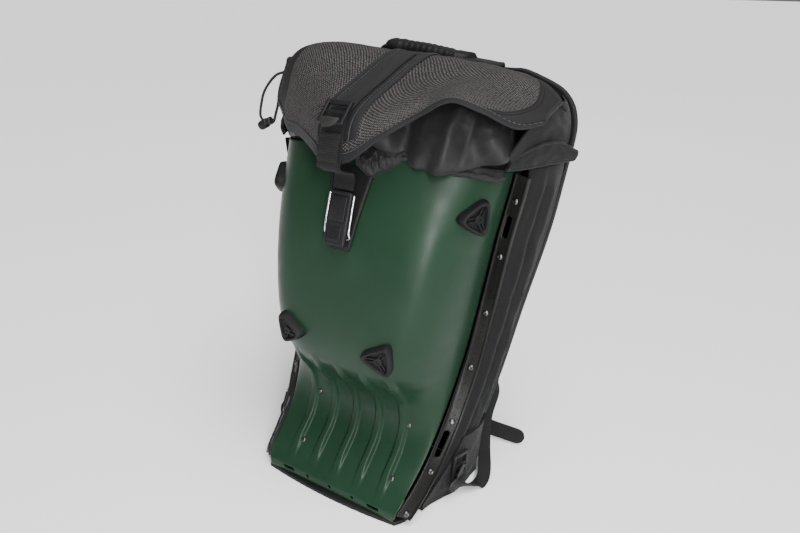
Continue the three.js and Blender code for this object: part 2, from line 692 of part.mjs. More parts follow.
const lock = { width: 34, length: 29, thick: 4.5, bar: 5, rib: 3.5 };
const lockAt = 0.76;
const lockOut = lidPoint(0, lockAt, 1).sub(lidPoint(0, lockAt, 0)).normalize();
const lockSeat = lidPoint(0, lockAt, strapLift + strapThick + 4.6);
function ladderLock(size) {
  const frame = new THREE.Shape();
  const w = size.width / 2;
  const l = size.length / 2;
  frame.moveTo(-w, -l).lineTo(w, -l).lineTo(w, l).lineTo(-w, l).closePath();
  const slot = (l * 2 - size.bar * 2 - size.rib) / 2;
  for (const low of [-l + size.bar, -l + size.bar + slot + size.rib]) {
    const hole = new THREE.Path();
    const inner = w - size.bar * 0.8;
    hole.moveTo(-inner, low).lineTo(-inner, low + slot).lineTo(inner, low + slot).lineTo(inner, low).closePath();
    frame.holes.push(hole);
  }
  const geometry = new THREE.ExtrudeGeometry(frame, { depth: size.thick, bevelEnabled: false });
  geometry.translate(0, 0, -size.thick / 2);
  return geometry;
}
add('lid_buckle', placed(ladderLock(lock), lockSeat, acrossAxis, lockOut), 'buckle');

// Half-round thumb tab over the lock's lower bar
const thumb = { half: 11.5, thick: 1.8, up: 5 };
const thumbShape = new THREE.Shape();
thumbShape.absarc(0, 0, thumb.half, Math.PI, Math.PI * 2).closePath();
const thumbPlate = new THREE.ExtrudeGeometry(thumbShape, {
  depth: thumb.thick,
  bevelEnabled: false,
  curveSegments: 10,
});
thumbPlate.translate(0, thumb.up - lock.length / 2, lock.thick / 2 + gap);
add('buckle_tab', placed(thumbPlate, lockSeat, acrossAxis, lockOut), 'tab');

const tailCurve = new THREE.CatmullRomCurve3([
  lidPoint(0, 0.85, strapLift + strapThick + 2.4),
  lidPoint(0, 0.91, strapLift + strapThick + 4),
  lidPoint(0, 0.96, strapLift + strapThick + 5),
  lidPoint(0, 1, strapLift + strapThick + 4.5).add(vec(0, 0, -8)),
]);
add('strap_tail', ribbon(tailCurve, 8, always(strapWidth), strapThick, always(acrossAxis)), 'webbing');

function hookTab() {
  const across = [-1, -0.5, 0, 0.5, 1];
  return wall(across, evenly(5), (u, v, w) => {
    const up = mix(-tab.down, tab.up, v);
    const x = u * mix(tab.footHalf, tab.topHalf, v);
    const height = (hookFrame.middle.z + up * 0.97) / shellHeight;
    return shellPoint({ x: x + 0.001, out: 0 }, height, -(gap * 2 + w * tab.thick));
  });
}
add('hook_tab', hookTab(), 'rubber');

function plateShape(width, up, down, corner) {
  const shape = new THREE.Shape();
  const w = width / 2;
  shape.moveTo(-w + corner, -down).lineTo(w - corner, -down).lineTo(w, -down + corner * 2).lineTo(w, up - corner)
    .lineTo(w - corner, up).lineTo(-w + corner, up).lineTo(-w, up - corner).lineTo(-w, -down + corner * 2).closePath();
  return shape;
}
const hookShape = plateShape(hook.width, hook.up, hook.down, 4);
const hookBody = new THREE.ExtrudeGeometry(hookShape, { depth: hook.thick, bevelEnabled: false });
add('hook_plate', placed(hookBody, onHook(0, hook.lift), acrossAxis, hookFrame.out), 'buckle');

// Handle
const handle = { half: 57, foot: 82, y: 0.95, rise: 21, width: 20, thick: 2.6 };
const gripSize = { wide: 26, tall: 13 };
const handleBend = 0.62;        // share of the reach where the webbing turns down to the panel
const handleSag = 2;
const handleTop = backHeight + handle.rise;
const gripRibs = 8;
const gripRib = 1.1;            // how far a rib stands out
const handleY = yAt(handle.y);
const backTop = backRows.at(-1);
const footY = yAt(backTop.back) + backThick * 0.55;
const handleCurve = new THREE.CatmullRomCurve3([-1, -0.9, -0.62, -0.31, 0, 0.31, 0.62, 0.9, 1].map(share => {
  const reach = Math.abs(share);
  const drop = ease((reach - handleBend) / (1 - handleBend));
  return vec(share * handle.foot, mix(handleY, footY, drop),
    mix(handleTop - reach * handleSag, backHeight + gap * 4 + handle.thick / 2, drop));
}));
const handleSide = vec(0, 1, 0);
add('handle_strap', ribbon(handleCurve, 18, always(handle.width), handle.thick, always(handleSide)), 'webbing');

function grip() {
  const span = handle.half / handle.foot / 2;
  const steps = gripRibs * 2 + 4;
  const round = new THREE.CylinderGeometry(1, 1, 1, 8, steps);
  const position = round.attributes.position;
  for (let i = 0; i < position.count; i += 1) {
    const share = position.getY(i);
    const step = Math.round((share + 0.5) * steps);
    const ribbed = step > 1 && step < steps - 1 && step % 2 === 0 ? gripRib : 0;
    const at = handleCurve.getPointAt(0.5 + share * span * 1.9);
    const end = Math.abs(share) > 0.49 ? 0.8 : 1;
    position.setXYZ(i, at.x,
      at.y + position.getX(i) * (gripSize.wide / 2 * end + ribbed * 0.5),
      at.z + position.getZ(i) * (gripSize.tall / 2 * end + ribbed));
  }
  const sleeve = toSolid(round);
  const room = gap * 2;
  const tunnel = ribbon(handleCurve, 18, always(handle.width + room), handle.thick + room, always(handleSide));
  return fromSolid(sleeve.subtract(toSolid(tunnel)));
}
add('handle_grip', grip(), 'rubber');

// Catch wire: up both sides of the plate and across behind its lower end
const wireHalf = hook.width / 2 + wire.diameter / 2 + gap * 2;
const wireLift = hook.lift + hook.thick * 0.6;
const wirePoint = (across, up, lift) => onHook(up, lift).addScaledVector(acrossAxis, across);
const wireSide = side => [
  wirePoint(side * wireHalf, wire.up, wireLift),
  wirePoint(side * wireHalf, wire.up * 0.3, wireLift),
  wirePoint(side * wireHalf, -wire.down * 0.7, wireLift - 1),
  wirePoint(side * wireHalf * 0.93, -wire.down, wire.under),
];
const wirePath = [...wireSide(-1), wirePoint(0, -wire.down - 2, wire.under), ...wireSide(1).reverse()];
add('hook_wire', tube(wirePath, wire.diameter, 18), 'steel');

// Pads on the wearer's side
const rearFace = (share, height, out) => backFace(share, height, backThick + out);
const padThick = 14;
const pads = [
  { name: 'back_pad_upper', low: 0.50, high: 0.84, half: 0.52, waist: 0.0 },
  { name: 'lumbar_pad', low: 0.07, high: 0.40, half: 0.60, waist: 0.12 },
];
for (const { name, low, high, half, waist } of pads) {
  const across = [-1, -0.92, -0.6, -0.2, 0.2, 0.6, 0.92, 1];
  const levels = [0, 0.06, 0.25, 0.5, 0.75, 0.94, 1];
  add(name, wall(across, levels, (u, v, w) => {
    const end = Math.abs(v - 0.5) * 2;
    const corner = 1 - 0.14 * ease((end - 0.8) / 0.2);
    const groove = 1 - 0.35 * (1 - ease(Math.abs(u) / 0.35));
    const rim = Math.abs(u) > 0.99 || end > 0.99 ? 0.45 : 1;
    const share = u * half * corner * (1 - waist * v);
    return rearFace(share, mix(low, high, v), gap * 2 + w * padThick * rim * groove);
  }), 'cloth');
}

// Shoulder straps, their webbing and adjusters
const shoulder = { width: 62, thick: 11 };
// Rows down a strap: across of backHalf, height of backHeight, out in pad thicknesses behind the panel
const strapRows = [
  { across: 0.30, height: 0.915, out: 0.62 },
  { across: 0.31, height: 0.875, out: 1.55 },
  { across: 0.37, height: 0.76, out: 2.35 },
  { across: 0.46, height: 0.60, out: 2.60 },
  { across: 0.57, height: 0.44, out: 2.45 },
  { across: 0.635, height: 0.31, out: 1.75 },
  { across: 0.68, height: 0.20, out: 1.10 },
];
const hipWing = { low: 2, high: 78, flare: 14, thick: 4, from: 0.2 };
const webWidth = 16;
const webThick = 1.6;
const webStart = { out: 7, back: 4, down: 17 };   // from the padded strap's end
const webHang = 60;
// Rows down the webbing: off the panel's edge in widths, back of packDepth, up of webHang
const webRows = [
  { off: -0.125, back: 0.79, up: 1.1 },
  { off: -0.125, back: 0.67, up: 0.8 },
  { off: 0, back: 0.625, up: 0.5 },
  { off: 0.1875, back: 0.60, up: 0.2 },
  { off: 0.25, back: 0.55, up: 0.05 },
  { off: -0.0625, back: 0.49, up: 0.05 },
];
const adjuster = { width: 24, length: 34, thick: 4, bar: 4.5, rib: 3.5 };
// Belt end: how far it goes out and back, with rows along it as shares of both
const belt = { rise: 23, thick: 2, out: 99, back: 60, taper: 0.25 };
const beltRows = [
  { out: 0, back: 0 },
  { out: 0.28, back: 0.66 },
  { out: 0.56, back: 0.81 },
  { out: 1, back: 1 },
];

function wingPoint(side, u, v, out) {
  const level = mix(hipWing.low, hipWing.high, v);
  const height = Math.max((level + railWidth * 0.55) / shellHeight, railBottom * 1.2);
  const spread = hipWing.flare * (1 - ease(v)) * ease(u * 1.5) + gap * 3;
  const point = gussetPoint(side, height, mix(hipWing.from, 0.97, u), -(spread + out));
  point.z = level;
  return point;
}

for (const [label, side] of [['left', -1], ['right', 1]]) {
  const path = new THREE.CatmullRomCurve3(strapRows.map(({ across, height, out }) => {
    const half = readTable(backRows, 'height', 'half', height);
    return rearFace((side * across) / half, height, out * padThick);
  }));
  const narrow = t => shoulder.width * (1 - 0.45 * ease((t - 0.72) / 0.28));
  const lean = t => vec(1, -side * 0.9 * ease((t - 0.6) / 0.4), 0);
  add(`shoulder_strap_${label}`, wall([-0.5, -0.42, 0, 0.42, 0.5], evenly(12), (u, v, w) => {
    const along = path.getTangentAt(v);
    const across = lean(v);
    across.addScaledVector(along, -across.dot(along)).normalize();
    const out = vec(0, 0, 0).crossVectors(along, across).normalize();
    const rim = Math.abs(u) > 0.49 || v < 0.01 || v > 0.99 ? 0.5 : 1;
    return path.getPointAt(v).addScaledVector(across, u * narrow(v))
      .addScaledVector(out, (w - 0.5) * shoulder.thick * rim);
  }), 'cloth');

  const wing = wall(evenly(5), evenly(4), (u, v, w) => wingPoint(side, u, v, w * hipWing.thick));
  add(`hip_wing_${label}`, wing, 'cloth');

  const seat = wingPoint(side, 0.24, 0.55, hipWing.thick);
  const seatUp = wingPoint(side, 0.24, 0.7, 0).sub(wingPoint(side, 0.24, 0.35, 0)).normalize();
  const seatAlong = wingPoint(side, 0.42, 0.55, 0).sub(wingPoint(side, 0.08, 0.55, 0)).multiplyScalar(side);
  const seatOut = vec(0, 0, 0).crossVectors(seatAlong, seatUp).normalize();
  const lockCentre = seat.clone().addScaledVector(seatOut, adjuster.thick / 2 + 2.6);
  add(`strap_adjuster_${label}`, placed(ladderLock(adjuster), lockCentre, seatAlong, seatOut), 'buckle');

  const onLock = (up, lift) => lockCentre.clone()
    .addScaledVector(seatUp, adjuster.length * up).addScaledVector(seatOut, lift);
  // from the strap's end round the panel's edge, down to the floor, forward and up to the adjuster
  const beside = backHalf * readTable(backRows, 'height', 'half', 0.16) + webWidth;
  const web = new THREE.CatmullRomCurve3([
    path.getPointAt(1).add(vec(side * webStart.out, webStart.back, -webStart.down)),
    ...webRows.map(({ off, back, up }) => vec(side * (beside + off * webWidth), yAt(back), up * webHang)),
    onLock(-0.72, adjuster.thick / 2 + 4),
    onLock(-0.35, adjuster.thick / 2 + 4),
    onLock(0.1, adjuster.thick / 2 + 3),
  ]);
  add(`strap_webbing_${label}`, ribbon(web, 18, always(webWidth), webThick, t => {
    const turn = ease((t - 0.66) / 0.25);
    return vec(side * mix(0.9, 0, turn), mix(0.45, 1, turn), 0);
  }), 'webbing');

  // stiff belt end on edge behind the base
  const root = rearFace(side * 0.56, 0.03, 4);
  const beltPath = new THREE.CatmullRomCurve3(beltRows.map(({ out, back }) => {
    return vec(root.x + side * out * belt.out, root.y + back * belt.back, belt.rise / 2 + gap);
  }));
  const beltRise = t => belt.rise * (1 - belt.taper * ease((t - 0.9) / 0.1));
  add(`hip_webbing_${label}`, ribbon(beltPath, 8, beltRise, belt.thick, always(vec(0, 0, 1))), 'webbing');
}

// Collar: a closed neck of thin nylon that leaves the shell's rim, swells over it and folds in under the lid
// half of shellHalf; spread is how much wider it is behind; slack is the left side's share of the swell
const neck = { half: 0.94, spread: 0.2, frontY: 0.365, backY: 0.985, square: 3, wall: 1.8, slack: 0.25, raise: 0.5 };
// Rows up the neck: out and up as shares of neckRise, from inside the rim to under the lid
const neckRise = 60;
const neckRows = [
  { at: 0.00, out: 0.00, up: -0.20 },
  { at: 0.20, out: 0.00, up: 0.06 },
  { at: 0.34, out: 0.30, up: 0.10 },
  { at: 0.52, out: 0.42, up: 0.30 },
  { at: 0.70, out: 0.30, up: 0.50 },
  { at: 0.86, out: 0.02, up: 0.66 },
  { at: 1.00, out: -0.36, up: 0.68 },
];
const neckFolds = 7;

function neckPoint(around, at, inward) {
  const turn = around * Math.PI * 2;
  const c = Math.cos(turn);
  const s = Math.sin(turn);
  const reach = (Math.abs(c) ** neck.square + Math.abs(s) ** neck.square) ** (-1 / neck.square);
  const middle = (neck.frontY + neck.backY) / 2;
  const deep = (neck.backY - neck.frontY) / 2 * packDepth;
  const half = shellHalf * neck.half * (1 + neck.spread * ease(s * reach + 0.2));
  const front = clamp(-s, 0, 1);
  const rightward = ease(c * reach * 1.5 + 0.4);
  const sideSwell = 0.35 * ease(c * reach * 2 - 1);
  const swell = mix(ease(front * 1.6), 1, sideSwell) * mix(neck.slack, 1, rightward) * neckRise;
  const crease = 1 + 0.35 * Math.sin(turn * neckFolds * 2 + at * 4) * ease(at * 2) * ease(front * 2);
  const out = readTable(neckRows, 'at', 'out', at) * swell * crease - inward;
  const along = vec(c * reach * half, s * reach * deep, 0);
  const normal = vec(c / half, s / deep, 0).normalize();
  const rim = shellHeight * (1 - rimDrop * clamp(Math.abs(c) * reach, 0, 1) ** 2);
  const up = readTable(neckRows, 'at', 'up', at) * neckRise * (1 + neck.raise * rightward * ease(at * 2 - 0.6));
  return vec(along.x, along.y + yAt(middle), rim + up).addScaledVector(normal, out);
}

const neckLevels = evenly(5);
add('collar', ring(30, neckLevels.length * 2, (around, across) => {
  const place = Math.round(across * neckLevels.length * 2);
  const outer = place < neckLevels.length;
  const level = outer ? place : neckLevels.length * 2 - 1 - place;
  return neckPoint(around, neckLevels[level], outer ? 0 : neck.wall);
}), 'nylon');

// Piped ends of the neck that stand out at the sides
const tuckedShare = 0.93;       // the left end is tucked in under the lid
const flapLean = 3;             // how far the upper edge stands out past the lower one
// Rows from the front to the tip: across of shellHalf, back of packDepth, low and high of shellHeight
const flapRows = [
  { along: 0, across: 1.055, back: 0.47, low: 0.975, high: 0.998 },
  { along: 0.35, across: 1.15, back: 0.58, low: 0.975, high: 1.022 },
  { along: 0.7, across: 1.24, back: 0.77, low: 0.974, high: 1.026 },
  { along: 1, across: 1.32, back: 0.94, low: 0.970, high: 0.992 },
];
for (const [label, side] of [['left', -1], ['right', 1]]) {
  add(`collar_wing_${label}`, wall(evenly(8), [0, 0.5, 1], (u, v, w) => {
    const read = column => readTable(flapRows, 'along', column, u);
    const level = mix(read('low'), read('high'), v) * shellHeight;
    const spread = side > 0 ? 1 : tuckedShare;
    const x = read('across') * shellHalf * spread + v * flapLean - w * clothWall;
    return vec(side * x, yAt(read('back')) + w * clothWall * 0.4, level);
  }), 'nylon');
}

// Elastic loop at the lid's left end, with its lock
const cord = { diameter: 3.4, steps: 20 };
const cordAt = lidPoint(-1, 0.42, 0);
const fromCord = (out, back, up) => cordAt.clone().add(vec(-out, back, up));
const cordPath = [
  fromCord(3, 0, -8),
  fromCord(8, -2, -7),
  fromCord(18, -6, -17),
  fromCord(28, -12, -36),
  fromCord(31, -16, -58),
  fromCord(26, -18, -70),
  fromCord(16, -16, -64),
  fromCord(10, -11, -50),
  fromCord(8, -6, -34),
];
add('cord_loop', tube(cordPath, cord.diameter, cord.steps), 'webbing');

const cordLock = { length: 22, diameter: 12 };
function cordLockBody() {
  const profile = [
    [0, -0.5], [0.34, -0.5], [0.5, -0.38], [0.5, 0.1], [0.36, 0.2], [0.4, 0.5], [0, 0.5],
  ].map(([radius, up]) => new THREE.Vector2(radius * cordLock.diameter, up * cordLock.length));
  const barrel = new THREE.LatheGeometry(profile, 8);
  barrel.rotateZ(Math.PI / 2 - 0.5);
  const centre = cordPath[5];
  barrel.translate(centre.x, centre.y, centre.z);
  return fromSolid(toSolid(barrel).subtract(toSolid(tube(cordPath, cord.diameter + gap * 3, cord.steps))));
}
add('cord_lock', cordLockBody(), 'buckle');

export default pack;
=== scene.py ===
import math

import bmesh
import bpy
from mathutils import Matrix, Vector, noise


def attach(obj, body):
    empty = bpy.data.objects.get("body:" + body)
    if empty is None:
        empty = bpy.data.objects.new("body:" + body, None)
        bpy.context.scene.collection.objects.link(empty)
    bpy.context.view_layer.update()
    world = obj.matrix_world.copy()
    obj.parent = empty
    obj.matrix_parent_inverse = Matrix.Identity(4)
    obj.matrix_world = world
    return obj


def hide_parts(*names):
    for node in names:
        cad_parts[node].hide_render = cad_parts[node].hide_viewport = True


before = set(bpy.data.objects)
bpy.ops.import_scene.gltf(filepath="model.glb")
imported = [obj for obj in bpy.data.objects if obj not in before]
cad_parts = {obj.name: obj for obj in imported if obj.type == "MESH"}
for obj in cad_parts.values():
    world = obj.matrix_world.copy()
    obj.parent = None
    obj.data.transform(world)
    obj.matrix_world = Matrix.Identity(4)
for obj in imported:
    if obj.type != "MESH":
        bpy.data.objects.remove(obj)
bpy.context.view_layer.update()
mm = 0.001

# Camera
# 29 mm lens on a 36 mm sensor, 23 degrees above the horizon and 31 to the right of the front
cameraLook = {"at": (0.383, -0.558, 0.559), "turn": 31.2, "down": 23.0, "roll": 1.5, "lens": 29.25}


def placeCamera(look):
    data = bpy.data.cameras.new("camera")
    data.lens = look["lens"]
    data.sensor_width = 36
    camera = bpy.data.objects.new("camera", data)
    bpy.context.collection.objects.link(camera)
    a = math.radians(look["turn"])
    e = math.radians(look["down"])
    r = math.radians(look["roll"])
    back = Vector((math.sin(a) * math.cos(e), -math.cos(a) * math.cos(e), math.sin(e)))
    level = Vector((math.cos(a), math.sin(a), 0))
    upright = back.cross(level)
    right = level * math.cos(r) + upright * math.sin(r)
    up = upright * math.cos(r) - level * math.sin(r)
    turn = Matrix((right, up, back)).transposed().to_4x4()
    camera.matrix_world = Matrix.Translation(look["at"]) @ turn
    bpy.context.scene.camera = camera


placeCamera(cameraLook)


# Small sums
def clamp(value, low, high):
    return min(max(value, low), high)


def mix(a, b, t):
    return a + (b - a) * t


def ease(t):
    s = clamp(t, 0, 1)
    return s * s * (3 - 2 * s)


def evenly(count, low=0.0, high=1.0):
    return [mix(low, high, i / count) for i in range(count + 1)]


def readRows(rows, key, column, at):
    # smooth reading between the rows of a table
    i = 0
    while i < len(rows) - 2 and at > rows[i + 1][key]:
        i += 1

    def slope(k):
        before = rows[max(k - 1, 0)]
        after = rows[min(k + 1, len(rows) - 1)]
        return (after[column] - before[column]) / (after[key] - before[key])

    low = rows[i]
    high = rows[i + 1]
    span = high[key] - low[key]
    t = clamp((at - low[key]) / span, 0, 1)
    t2 = t * t
    t3 = t2 * t
    start = low[column] * (2 * t3 - 3 * t2 + 1) + slope(i) * span * (t3 - 2 * t2 + t)
    return start + high[column] * (3 * t2 - 2 * t3) + slope(i + 1) * span * (t3 - t2)


def table(columns, *rows):
    names = columns.split()
    return [dict(zip(names, row)) for row in rows]


def spline(points, t):
    # a point of the smooth line through the points, t from 0 to 1
    spans = len(points) - 1
    i = min(int(t * spans), spans - 1)
    s = t * spans - i
    b = points[i]
    c = points[i + 1]
    a = points[i - 1] if i > 0 else b * 2 - c
    d = points[i + 2] if i < spans - 1 else c * 2 - b
    s2 = s * s
    s3 = s2 * s
    return (b * 2 + (c - a) * s + (a * 2 - b * 5 + c * 4 - d) * s2 + (b * 3 - a - c * 3 + d) * s3) * 0.5


def evenLine(points, count):
    # count + 1 points at equal distances along the smooth line through the points
    fine = [spline(points, i / 400) for i in range(401)]
    walked = [0.0]
    for a, b in zip(fine, fine[1:]):
        walked.append(walked[-1] + (b - a).length)
    line = []
    k = 0
    for i in range(count + 1):
        want = walked[-1] * i / count
        while k < 399 and walked[k + 1] < want:
            k += 1
        part = (want - walked[k]) / max(walked[k + 1] - walked[k], 1e-9)
        line.append(fine[k].lerp(fine[k + 1], clamp(part, 0, 1)))
    return line


def lineLength(line):
    return sum((b - a).length for a, b in zip(line, line[1:]))


def wrinkle(point, size, depth, seed=0.0):
    # soft creases: ridged noise, about size apart and depth tall
    p = point / size + Vector((seed, seed * 0.7, -seed))
    return depth * (1 - 2 * abs(noise.noise(p))) * 0.6 + depth * 0.4 * noise.noise(p * 2.3)


# Mesh makers
def newObject(name, bm, material, sharp=38):
    # finish a bmesh as an object whose place is in its mesh
    bmesh.ops.remove_doubles(bm, verts=bm.verts, dist=1e-6)
    bmesh.ops.recalc_face_normals(bm, faces=bm.faces)
    for edge in bm.edges:
        edge.smooth = not (len(edge.link_faces) == 2 and edge.calc_face_angle(0) > math.radians(sharp))
    for face in bm.faces:
        face.smooth = True
    mesh = bpy.data.meshes.new(name)
    bm.to_mesh(mesh)
    bm.free()
    mesh.materials.append(material)
    made = bpy.data.objects.new(name, mesh)
    bpy.context.collection.objects.link(made)
    return made


def bentGrid(bm, us, vs, place, cloth=(1, 1)):
    # a grid whose corners are moved by place(u, v); its UV runs in metres of cloth
    uvLayer = bm.loops.layers.uv.verify()
    cols = len(us) - 1
    rows = len(vs) - 1
    for vert in bmesh.ops.create_grid(bm, x_segments=cols, y_segments=rows, size=0.5)["verts"]:
        u = us[round((vert.co.x + 0.5) * cols)]
        v = vs[round((vert.co.y + 0.5) * rows)]
        for loop in vert.link_loops:
            loop[uvLayer].uv = (u * cloth[0], v * cloth[1])
        vert.co = place(u, v)


def openEdges(bm):
    return [edge for edge in bm.edges if len(edge.link_faces) == 1]


def twoFaces(us, vs, place, cloth):
    # the outer face at w 1 and the inner one at w 0
    bm = bmesh.new()
    for w in (1, 0):
        bentGrid(bm, us, vs, lambda u, v: place(u, v, w), cloth)
    return bm


def slab(name, us, vs, place, material, cloth=(1, 1), sharp=38):
    # a closed wall between two faces
    bm = twoFaces(us, vs, place, cloth)
    bmesh.ops.bridge_loops(bm, edges=openEdges(bm))
    return newObject(name, bm, material, sharp)


def sheetOf(name, us, vs, place, material, thick, cloth=(1, 1), offset=-1.0, sharp=60):
    # a single face that gets its thickness from Solidify
    bm = bmesh.new()
    bentGrid(bm, us, vs, place, cloth)
    made = newObject(name, bm, material, sharp)
    wall = made.modifiers.new("thickness", "SOLIDIFY")
    wall.thickness = thick
    wall.offset = offset
    wall.use_rim = True
    return made


def pillow(name, us, vs, place, material, cloth=(1, 1), sharp=50):
    # two faces that meet all round: place(u, v, w) gives one point for both w at the rim
    bm = twoFaces(us, vs, place, cloth)
    bmesh.ops.remove_doubles(bm, verts=bm.verts, dist=2e-5)
    rest = openEdges(bm)
    if rest:
        bmesh.ops.bridge_loops(bm, edges=rest)
    return newObject(name, bm, material, sharp)


def tube(name, us, vs, place, material, cloth, sharp=50):
    # a grid that closes on itself across u and is filled at both ends
    bm = bmesh.new()
    bentGrid(bm, us, vs, place, cloth)
    bmesh.ops.remove_doubles(bm, verts=bm.verts, dist=1e-6)
    bmesh.ops.holes_fill(bm, edges=openEdges(bm))
    return newObject(name, bm, material, sharp)


def sweep(name, line, section, side, material, cloth):
    # a closed section carried along a line of points; side(t) is its width direction
    count = len(line) - 1
    corners = len(section)

    def place(u, v):
        i = round(v * count)
        along = (line[min(i + 1, count)] - line[max(i - 1, 0)]).normalized()
        across = side(v)
        across = (across - along * across.dot(along)).normalized()
        x, y = section[round(u * corners) % corners]
        return line[i] + across * x + across.cross(along) * y

    return tube(name, evenly(corners), evenly(count), place, material, (cloth, lineLength(line)))


def roundSection(diameter, corners):
    turns = [i / corners * math.tau for i in range(corners)]
    return [(math.cos(a) * diameter / 2, math.sin(a) * diameter / 2) for a in turns]


def tapeSection(width, thick):
    # a flat tape with rounded edges
    top = [(across * width, thick / 2) for across in evenly(6, -0.5, 0.5)]
    low = [(x, y - thick) for x, y in reversed(top)]
    for row, edge in ((top, -thick * 0.35), (low, thick * 0.35)):
        for end in (0, -1):
            row[end] = (row[end][0], row[end][1] + edge)
    return top + low


def cordAlong(name, line, diameter, side, material, cloth, corners=10):
    # a round cord or piping, its diameter in millimetres
    return sweep(name, line, roundSection(diameter * mm, corners), lambda t: Vector(side), material, cloth)


def freshCorners(bm, drawing):
    # the corners that a drawing adds
    before = set(bm.verts)
    drawing(bm)
    return [v for v in bm.verts if v not in before]


def softenEdges(bm, edges, by, segments):
    bmesh.ops.bevel(bm, geom=list(edges), offset=by, segments=segments, affect="EDGES", profile=0.5,
                    material=-1)


def turned(bm, profile, steps=24):
    # spin a profile of (radius, height) about Z; returns the new corners
    before = set(bm.verts)
    line = [bm.verts.new((r, 0, z)) for r, z in profile]
    edges = [bm.edges.new(pair) for pair in zip(line, line[1:])]
    bmesh.ops.spin(bm, geom=line + edges, axis=(0, 0, 1), cent=(0, 0, 0), steps=steps, angle=math.tau,
                   use_merge=True)
    made = [v for v in bm.verts if v not in before]
    bmesh.ops.remove_doubles(bm, verts=made, dist=1e-7)
    return [v for v in bm.verts if v not in before]


def basis(centre, right, out):
    z = out.normalized()
    x = (right - z * right.dot(z)).normalized()
    y = z.cross(x)
    return Matrix.Translation(centre) @ Matrix((x, y, z)).transposed().to_4x4()


def copies(name, drawing, places, material, sharp=38):
    # one joined piece from a drawing repeated at each place
    bm = bmesh.new()
    for place in places:
        bmesh.ops.transform(bm, matrix=place, verts=freshCorners(bm, drawing))
    return newObject(name, bm, material, sharp)


def block(bm, size, centre=(0, 0, 0), soften=0.0, segments=2):
    # a block with softened edges
    fresh = bmesh.ops.create_cube(bm, size=1)["verts"]
    bmesh.ops.scale(bm, vec=size, verts=fresh)
    bmesh.ops.translate(bm, vec=centre, verts=fresh)
    if soften:
        softenEdges(bm, {e for v in fresh for e in v.link_edges}, soften, segments)


def cutFrom(target, cutter):
    # take one closed shape out of another and drop the cutter
    bpy.context.view_layer.objects.active = target
    cut = target.modifiers.new("cut", "BOOLEAN")
    cut.object = cutter
    cut.operation = "DIFFERENCE"
    cut.solver = "EXACT"
    bpy.ops.object.modifier_apply(modifier=cut.name)
    bpy.data.objects.remove(cutter, do_unlink=True)


def applyAll(target):
    bpy.context.view_layer.objects.active = target
    for modifier in list(target.modifiers):
        bpy.ops.object.modifier_apply(modifier=modifier.name)


puffLook = {"pressure": 4, "frames": 20, "quality": 5}


def puff(piece, outward, reach):
    # lets air into a closed cushion; nothing moves further than reach millimetres or towards the pack
    before = [vert.co.copy() for vert in piece.data.vertices]
    cloth = piece.modifiers.new("air", "CLOTH")
    cloth.settings.use_pressure = True
    cloth.settings.uniform_pressure_force = puffLook["pressure"]
    cloth.settings.quality = puffLook["quality"]
    cloth.settings.effector_weights.gravity = 0
    cloth.point_cache.frame_start = 1
    cloth.point_cache.frame_end = puffLook["frames"]
    for now in range(1, puffLook["frames"] + 1):
        bpy.context.scene.frame_set(now)
    graph = bpy.context.evaluated_depsgraph_get()
    after = [vert.co.copy() for vert in piece.evaluated_get(graph).data.vertices]
    piece.modifiers.remove(cloth)
    bpy.context.scene.frame_set(1)
    if len(after) != len(before):
        print("cushion kept as modelled:", piece.name)
        return
    furthest = 0
    for vert, old, new in zip(piece.data.vertices, before, after):
        move = new - old
        back = move.dot(outward)
        if back < 0:
            move -= outward * back
        if move.length > reach * mm:
            move *= reach * mm / move.length
        vert.co = old + move
        furthest = max(furthest, move.length)
    print(f"cushion {piece.name} puffed up by at most {furthest / mm:.1f} mm")


def settle(piece, slotName, *standsFor):
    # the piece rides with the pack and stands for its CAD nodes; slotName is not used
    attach(piece, "root")
    if standsFor:
        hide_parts(*standsFor)
    return piece


